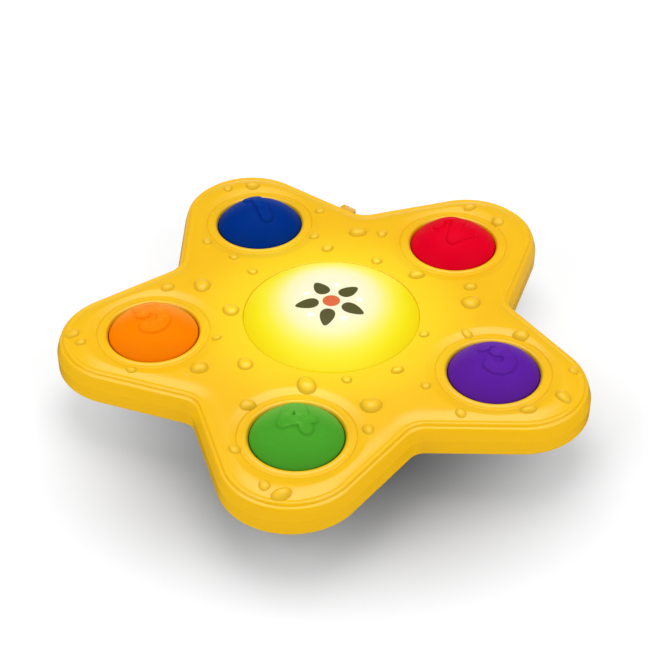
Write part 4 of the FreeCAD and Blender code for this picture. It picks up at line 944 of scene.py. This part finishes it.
def stroke_path(stroke):
    """Points along a stroke's middle line."""
    if len(stroke) == 2:
        return np.array(stroke, float)
    centre, radius, first, last = stroke
    return circle_points(centre, radius, np.radians(np.linspace(first, last, 15)))


def distance_to_strokes(points, strokes):
    """Shortest distance from each plan point to any stroke's middle line."""
    shortest = np.full(points.shape[:-1], np.inf)
    for stroke in strokes:
        path = stroke_path(stroke)
        for start, end in zip(path[:-1], path[1:]):
            along = end - start
            share = np.clip(((points - start) @ along) / (along @ along), 0, 1)
            nearest = start + share[..., None] * along
            shortest = np.minimum(shortest, np.linalg.norm(points - nearest, axis=-1))
    return shortest


def cap_patch(arm):
    """Sphere cap with a raised figure in a fine groove, a rounded edge, skirt, flange and a plain inside.

    The figure rises by a smooth step of the distance to its strokes; the groove is a bell curve of it.
    """
    sag = CAP_APEX_Z - CAP_EDGE_Z
    sphere = (CAP_RADIUS ** 2 + sag ** 2) / (2 * sag)
    middle = CAP_APEX_Z - sphere
    radii = np.concatenate([np.arange(0, NUMERAL_REACH, NUMERAL_FINENESS),
                            np.linspace(NUMERAL_REACH, CAP_RADIUS - 0.4, 12)])
    dome = np.stack([radii, middle + np.sqrt(sphere ** 2 - radii ** 2)], 1)
    side = curve_through(section([(CAP_RADIUS - 0.15, -0.02), (CAP_RADIUS, -0.35), (CAP_RADIUS, -0.8)],
                                 CAP_EDGE_Z), 3)
    inner = CAP_RADIUS - CAP_WALL
    inner_radii = np.linspace(inner, 0, 12)
    inside = np.stack([inner_radii, middle + np.sqrt((sphere - CAP_WALL) ** 2 - inner_radii ** 2)], 1)
    flange_top = SKIRT_Z + FLANGE_THICKNESS
    skirt = [(CAP_RADIUS, flange_top), (FLANGE_RADIUS, flange_top), (FLANGE_RADIUS, SKIRT_Z),
             (inner, SKIRT_Z)]
    points = turned_profile(np.concatenate([dome, side, skirt, inside]), CAP_COLUMNS)
    upper = points[:len(dome)]
    from_edge = distance_to_strokes(upper[..., :2], NUMERALS[arm]) - NUMERAL_HALF_WIDTH
    upper[..., 2] += NUMERAL_HEIGHT * smoothstep(0.5 - from_edge / NUMERAL_SOFTNESS)
    upper[..., 2] -= NUMERAL_GROOVE * np.exp(-((from_edge - NUMERAL_GROOVE_OUT) / NUMERAL_GROOVE_WIDTH) ** 2)
    points[..., :2] += button_centre(arm)
    return grid(points)


for arm, (tone, colour, lit_back_and_rub) in enumerate(CAP_COLOURS):
    piece("cap_%d" % (arm + 1), [cap_patch(arm)], "button_%d" % (arm + 1), "button_" + tone,
          cap_finish("cap_" + tone, arm, colour, lit_back_and_rub), ["button_%d" % (arm + 1)])


# Lens

def lens_patch():
    """Sphere cap with a rounded rim, a wall down to its flange and the inside face."""
    sphere = (LENS_RADIUS ** 2 + LENS_RISE ** 2) / (2 * LENS_RISE)
    middle = LENS_TOP_Z - sphere
    radii = LENS_RADIUS * np.sin(np.linspace(0, math.pi / 2, 60)) * LENS_DOME_SHARE
    dome = np.stack([radii, middle + np.sqrt(sphere ** 2 - radii ** 2)], 1)
    rim = [(LENS_RADIUS - 0.1, TOP_Z - 0.05), (LENS_RADIUS, TOP_Z - 0.25), (LENS_RADIUS, UNDERSIDE_Z),
           (LENS_FLANGE_RADIUS, UNDERSIDE_Z), (LENS_FLANGE_RADIUS, LENS_FLANGE_Z),
           (LENS_RADIUS - LENS_WALL, LENS_FLANGE_Z)]
    inner_radii = np.linspace(LENS_RADIUS - LENS_WALL, 0, 12)
    inside = np.stack([inner_radii, middle + np.sqrt((sphere - LENS_WALL) ** 2 - inner_radii ** 2)], 1)
    return grid(turned_profile(np.concatenate([dome, rim, inside]), LENS_COLUMNS))


piece("lens_dome", [lens_patch()], "toy", "lens_glow", LENS, ["light_lens"])


# Suction cup

def cup_profile():
    """Section of the bell: from the axis down the hollow to the rim, round its lip and up to the shoulder."""
    hollow_top = CUP_TOP_Z - CUP_CROWN
    inner_rim = CUP_RIM_RADIUS - CUP_RIM_WIDTH
    hollow = curve_through([(0.0, hollow_top), (6.0, hollow_top), (14.0, hollow_top - 2.4),
                            (inner_rim - 9.0, 3.6), (inner_rim - 2.5, 0.9), (inner_rim - 0.2, 0.06)], 8)
    rim = curve_through([(inner_rim, 0.01), (inner_rim + 0.2, 0.0), (CUP_RIM_RADIUS - 0.5, 0.0),
                         (CUP_RIM_RADIUS - 0.2, 0.08), (CUP_RIM_RADIUS - 0.05, 0.5),
                         (CUP_RIM_RADIUS - 0.3, 1.3), (CUP_RIM_RADIUS - 1.6, 2.1)], 4)
    back = curve_through([(CUP_RIM_RADIUS - 3.0, 2.5), (27.5, 6.0), (21.0, 9.6), (17.4, 12.6),
                          (CUP_SHOULDER, CUP_TOP_Z - 0.3), (CUP_SHOULDER - 0.6, CUP_TOP_Z)], 8)
    profile = np.concatenate([hollow, rim, back, [(0.0, CUP_TOP_Z)]])
    return np.maximum(profile, 0.0)


def tab_patch():
    """Release tab: a tongue with a round end and ribs across its top, thinner towards its end.

    Each row is a rounded rectangle, cosine and sine raised to a power, as wide as a circle at the end
    allows. The ribs are the upper halves of a cosine along the tab. The root closes inside the cup's rim.
    """
    along = np.concatenate([np.linspace(0, 0.9, 40), 0.9 + 0.1 * np.sin(np.linspace(0.1, math.pi / 2, 10))])
    around = np.linspace(0, 2 * math.pi, 48, endpoint=False)
    reach = (TAB_ROOT + along * (TAB_END - TAB_ROOT))[:, None]
    from_end = np.clip((TAB_END - reach) / TAB_HALF_WIDTH, 0, 1)
    half = TAB_HALF_WIDTH * np.sqrt(1 - (1 - from_end) ** 2)
    ribs = TAB_RIB_HEIGHT * np.clip(np.cos((reach - TAB_ROOT) * TAB_RIB_TURN), 0, 1)
    ribs = ribs * smoothstep(from_end * 3)
    thick = (TAB_THICKNESS / 2 - TAB_PLAY) * np.sqrt(np.clip(from_end * 4, 0, 1))
    wide = np.sign(np.cos(around)) * np.abs(np.cos(around)) ** TAB_SQUARENESS
    tall = np.sign(np.sin(around)) * np.abs(np.sin(around)) ** TAB_SQUARENESS
    x = half * wide
    z = TAB_THICKNESS / 2 - TAB_PLAY + thick * tall + ribs * np.clip(tall, 0, None)
    points = np.stack([x, np.broadcast_to(reach, x.shape), np.maximum(z, TAB_LIFT)], -1)
    root = np.broadcast_to(points[0].mean(axis=0), points[:1].shape)
    return grid(np.concatenate([root, points]))


bell = piece("cup_bell", [grid(turned_profile(cup_profile(), CUP_COLUMNS))], "suction_cup", "soft_silicone",
             SILICONE, ["suction_cup"])
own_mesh(bell)
piece("cup_tab", [tab_patch()], "suction_cup", "soft_silicone", SILICONE)

head_profile = [(0.0, CUP_TOP_Z), (CUP_NECK_RADIUS, CUP_TOP_Z), (CUP_NECK_RADIUS, CUP_HEAD_Z),
                (CUP_HEAD_RADIUS, CUP_HEAD_Z), (CUP_HEAD_RADIUS, CUP_HEAD_TOP_Z - CUP_HEAD_BEVEL),
                (CUP_HEAD_RADIUS - CUP_HEAD_BEVEL, CUP_HEAD_TOP_Z), (0.0, CUP_HEAD_TOP_Z)]
piece("cup_head", [grid(turned_profile(head_profile, 72))], "toy", "soft_silicone", SILICONE)


# Rubber keys

def key_profile():
    """Section of a rubber key: foot, thin bent web and a solid top that the cap's post presses."""
    outside = curve_through([(KEY_FOOT_RADIUS, KEY_FOOT_Z), (KEY_FOOT_RADIUS, KEY_FOOT_Z + 0.9),
                             (KEY_FOOT_RADIUS - 1.2, KEY_FOOT_Z + 1.5),
                             (KEY_TOP_RADIUS + 0.5, KEY_TOP_Z - 1.6),
                             (KEY_TOP_RADIUS, KEY_TOP_Z - 0.4), (KEY_TOP_RADIUS - 0.4, KEY_TOP_Z)], 4)
    solid_z = KEY_TOP_Z - KEY_TOP_DEPTH
    inside = [(0.0, KEY_TOP_Z), (0.0, solid_z), (KEY_TOP_RADIUS - 1.0, solid_z),
              (KEY_FOOT_RADIUS - 2.0, KEY_FOOT_Z), (KEY_FOOT_RADIUS, KEY_FOOT_Z)]
    return np.concatenate([outside, inside])


for arm in range(ARMS):
    key = piece("key_dome_%d" % (arm + 1), [grid(turned_profile(key_profile(), 48, button_centre(arm)))],
                "toy", "grey_rubber", RUBBER, ["rubber_dome_%d" % (arm + 1)])
    "button_%d_press" % (arm + 1)
    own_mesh(key)


# Floor, light and camera

# Greys of the floor: its own, in reflections in front and behind, and under the cup
FLOOR_HALF = 4000.0
FLOOR_COLOUR = 0.94
FLOOR_REFLECTED = 0.03
FLOOR_BEHIND = 0.35
FLOOR_BEHIND_FROM = (0.3, 2.0)
FLOOR_FADE = (430.0, 900.0)
FLOOR_TINT = (0.99, 1.0, 1.018)
UNDER_CUP_COLOUR = 0.05
UNDER_CUP_LIGHT = (0.02, 0.9)
UNDER_CUP_SIDE = (10.0, 36.0)
AMBIENT = 0.25
AMBIENT_REFLECTED = 0.07

# Broad shade on the floor in front of the toy, as seen by the camera: across and away from it in mm
SHADE_CENTRE = (2.7, -57.2)
SHADE_REACH = (176.0, 127.0)
SHADE_CORE = 0.23
SHADE_COLOURS = (0.282, 0.564)
SHADE_LIFT = 0.47
SHADE_LIFT_REACH = 0.9

# Lamps: place, width and height in metres, and brightness
LAMPS = {
    "overhead": ((0.18, 0.39, 1.5), (1.15, 1.15), 3.05),
    "left_key": ((-1.12, -0.12, 0.755), (0.8, 0.8), 3.5),
    "right_key": ((0.60, -0.95, 0.755), (1.2, 1.2), 1.9),
    "back": ((0.62, 1.30, 0.16), (1.6, 0.22), 1.6),
}


def ray_kinds(nodes):
    """Masks of the rays that come from the camera and from a glossy surface."""
    return [nodes.node("ShaderNodeLightPath", out=kind) for kind in ("Is Camera Ray", "Is Glossy Ray")]


def covered(x, y):
    """Mask of the floor under the cup's rim and under its tab."""
    cup = plan_distance(x, y).step(CUP_RIM_RADIUS - 1.0, CUP_RIM_RADIUS - 1.5)
    beside_tab = x.math("ABSOLUTE").step(TAB_HALF_WIDTH - 1.0, TAB_HALF_WIDTH - 1.5)
    tab = beside_tab * y.step(TAB_END - 2.0, TAB_END - 3.0) * y.step(0.0, 1.0)
    return cup.math("MAXIMUM", tab)


def floor_finish():
    """White floor, softly shaded under the toy for the camera, dark in reflections and clear from below.

    Where the cup and its tab cover it, it gives their undersides a little light. Far out it is white.
    """
    finish = Finish("floor_white", Roughness=1.0, Specular_IOR_Level=0.0, Emission_Strength=1.0)
    camera, glossy = ray_kinds(finish)
    x, y = finish.axes()[:2]
    across, away = heading(x, y, CAMERA_AZIMUTH)
    across = (across - SHADE_CENTRE[0]) / SHADE_REACH[0]
    away = (away - SHADE_CENTRE[1]) / SHADE_REACH[1]
    out = plan_distance(across, away)
    dim, full = (rgb(*(tint * value for tint in FLOOR_TINT)) for value in SHADE_COLOURS)
    shown = finish.mix(out.step(SHADE_CORE, 1.0), dim, full)
    lift = finish.mix(out.step(0.0, SHADE_LIFT_REACH), grey(0.0), grey(SHADE_LIFT))
    colour = finish.mix(camera, grey(FLOOR_COLOUR), shown)
    reflected = finish.mix(away.step(*FLOOR_BEHIND_FROM), grey(FLOOR_REFLECTED), grey(FLOOR_BEHIND))
    distant = plan_distance(x, y).step(*FLOOR_FADE)
    colour = finish.mix(distant * camera, colour, grey(0.0))
    lift = finish.mix(distant, lift, grey(1.0))
    hidden = covered(x, y)
    colour = finish.mix(hidden * (1.0 - camera), colour, grey(UNDER_CUP_COLOUR))
    one_side = hidden * (x + y).step(*UNDER_CUP_SIDE)
    under_cup = finish.mix(one_side, *(grey(value) for value in UNDER_CUP_LIGHT))
    finish.put(Base_Color=finish.mix(glossy, colour, reflected),
               Emission_Color=finish.mix(camera, under_cup, lift))
    below = finish.node("ShaderNodeNewGeometry", out="Backfacing")
    above = Socket(finish, finish.shader.outputs[0])
    surface = finish.node("ShaderNodeMixShader", {},
                          {0: below, 1: above, 2: finish.node("ShaderNodeBsdfTransparent")})
    finish.tree.links.new(surface.socket, finish.tree.nodes["Material Output"].inputs["Surface"])
    return finish.material


def make_floor():
    """One square on the table's plane."""
    half = FLOOR_HALF * MM
    corners = [(-half, -half, 0), (half, -half, 0), (half, half, 0), (-half, half, 0)]
    mesh = bpy.data.meshes.new("floor")
    mesh.from_pydata(corners, [], [(0, 1, 2, 3)])
    floor = bpy.data.objects.new("floor", mesh)
    bpy.context.scene.collection.objects.link(floor)
    mesh.materials.append(floor_finish())


def softbox(name, place, size, brightness):
    """Area lamp that looks at the toy. Its power is its area times pi times a brightness; 1 is white."""
    lamp = bpy.data.lights.new(name, "AREA")
    lamp.shape = "RECTANGLE"
    lamp.size, lamp.size_y = size
    lamp.energy = brightness * math.pi * size[0] * size[1]
    made = bpy.data.objects.new(name, lamp)
    made.location = place
    made.rotation_mode = "QUATERNION"
    made.rotation_quaternion = (-Vector(place)).to_track_quat("-Z", "Y")
    bpy.context.scene.collection.objects.link(made)


def make_world():
    """White to the camera, an even dim light for the toy and dark in reflections."""
    world = bpy.data.worlds.new("studio")
    bpy.context.scene.world = world
    world.use_nodes = True
    nodes = Nodes(world.node_tree)
    camera, glossy = ray_kinds(nodes)
    light = nodes.mix(camera, nodes.mix(glossy, grey(AMBIENT), grey(AMBIENT_REFLECTED)), grey(1.0))
    nodes.tree.links.new(light.socket, nodes.tree.nodes["Background"].inputs["Color"])


def make_camera():
    """Camera that looks at its target from its azimuth and elevation, rolled about its line of sight."""
    azimuth, elevation, roll = (math.radians(v) for v in (CAMERA_AZIMUTH, CAMERA_ELEVATION, CAMERA_ROLL))
    back = Vector((math.sin(azimuth) * math.cos(elevation), -math.cos(azimuth) * math.cos(elevation),
                   math.sin(elevation)))
    right = Vector((0, 0, 1)).cross(back).normalized()
    up = back.cross(right)
    turned_right = right * math.cos(roll) + up * math.sin(roll)
    turned_up = up * math.cos(roll) - right * math.sin(roll)
    data = bpy.data.cameras.new("camera")
    data.lens = CAMERA_LENS
    data.sensor_width = SENSOR_WIDTH
    data.clip_start = 0.05
    camera = bpy.data.objects.new("camera", data)
    bpy.context.scene.collection.objects.link(camera)
    place = Vector(CAMERA_TARGET) * MM + back * (CAMERA_DISTANCE * MM)
    turn = Matrix((turned_right, turned_up, back)).transposed()
    camera.matrix_world = Matrix.Translation(place) @ turn.to_4x4()
    bpy.context.scene.camera = camera


make_floor()
make_world()
make_camera()
for name, (place, size, brightness) in LAMPS.items():
    softbox(name, place, size, brightness)

bpy.context.scene.view_settings.view_transform = "Standard"
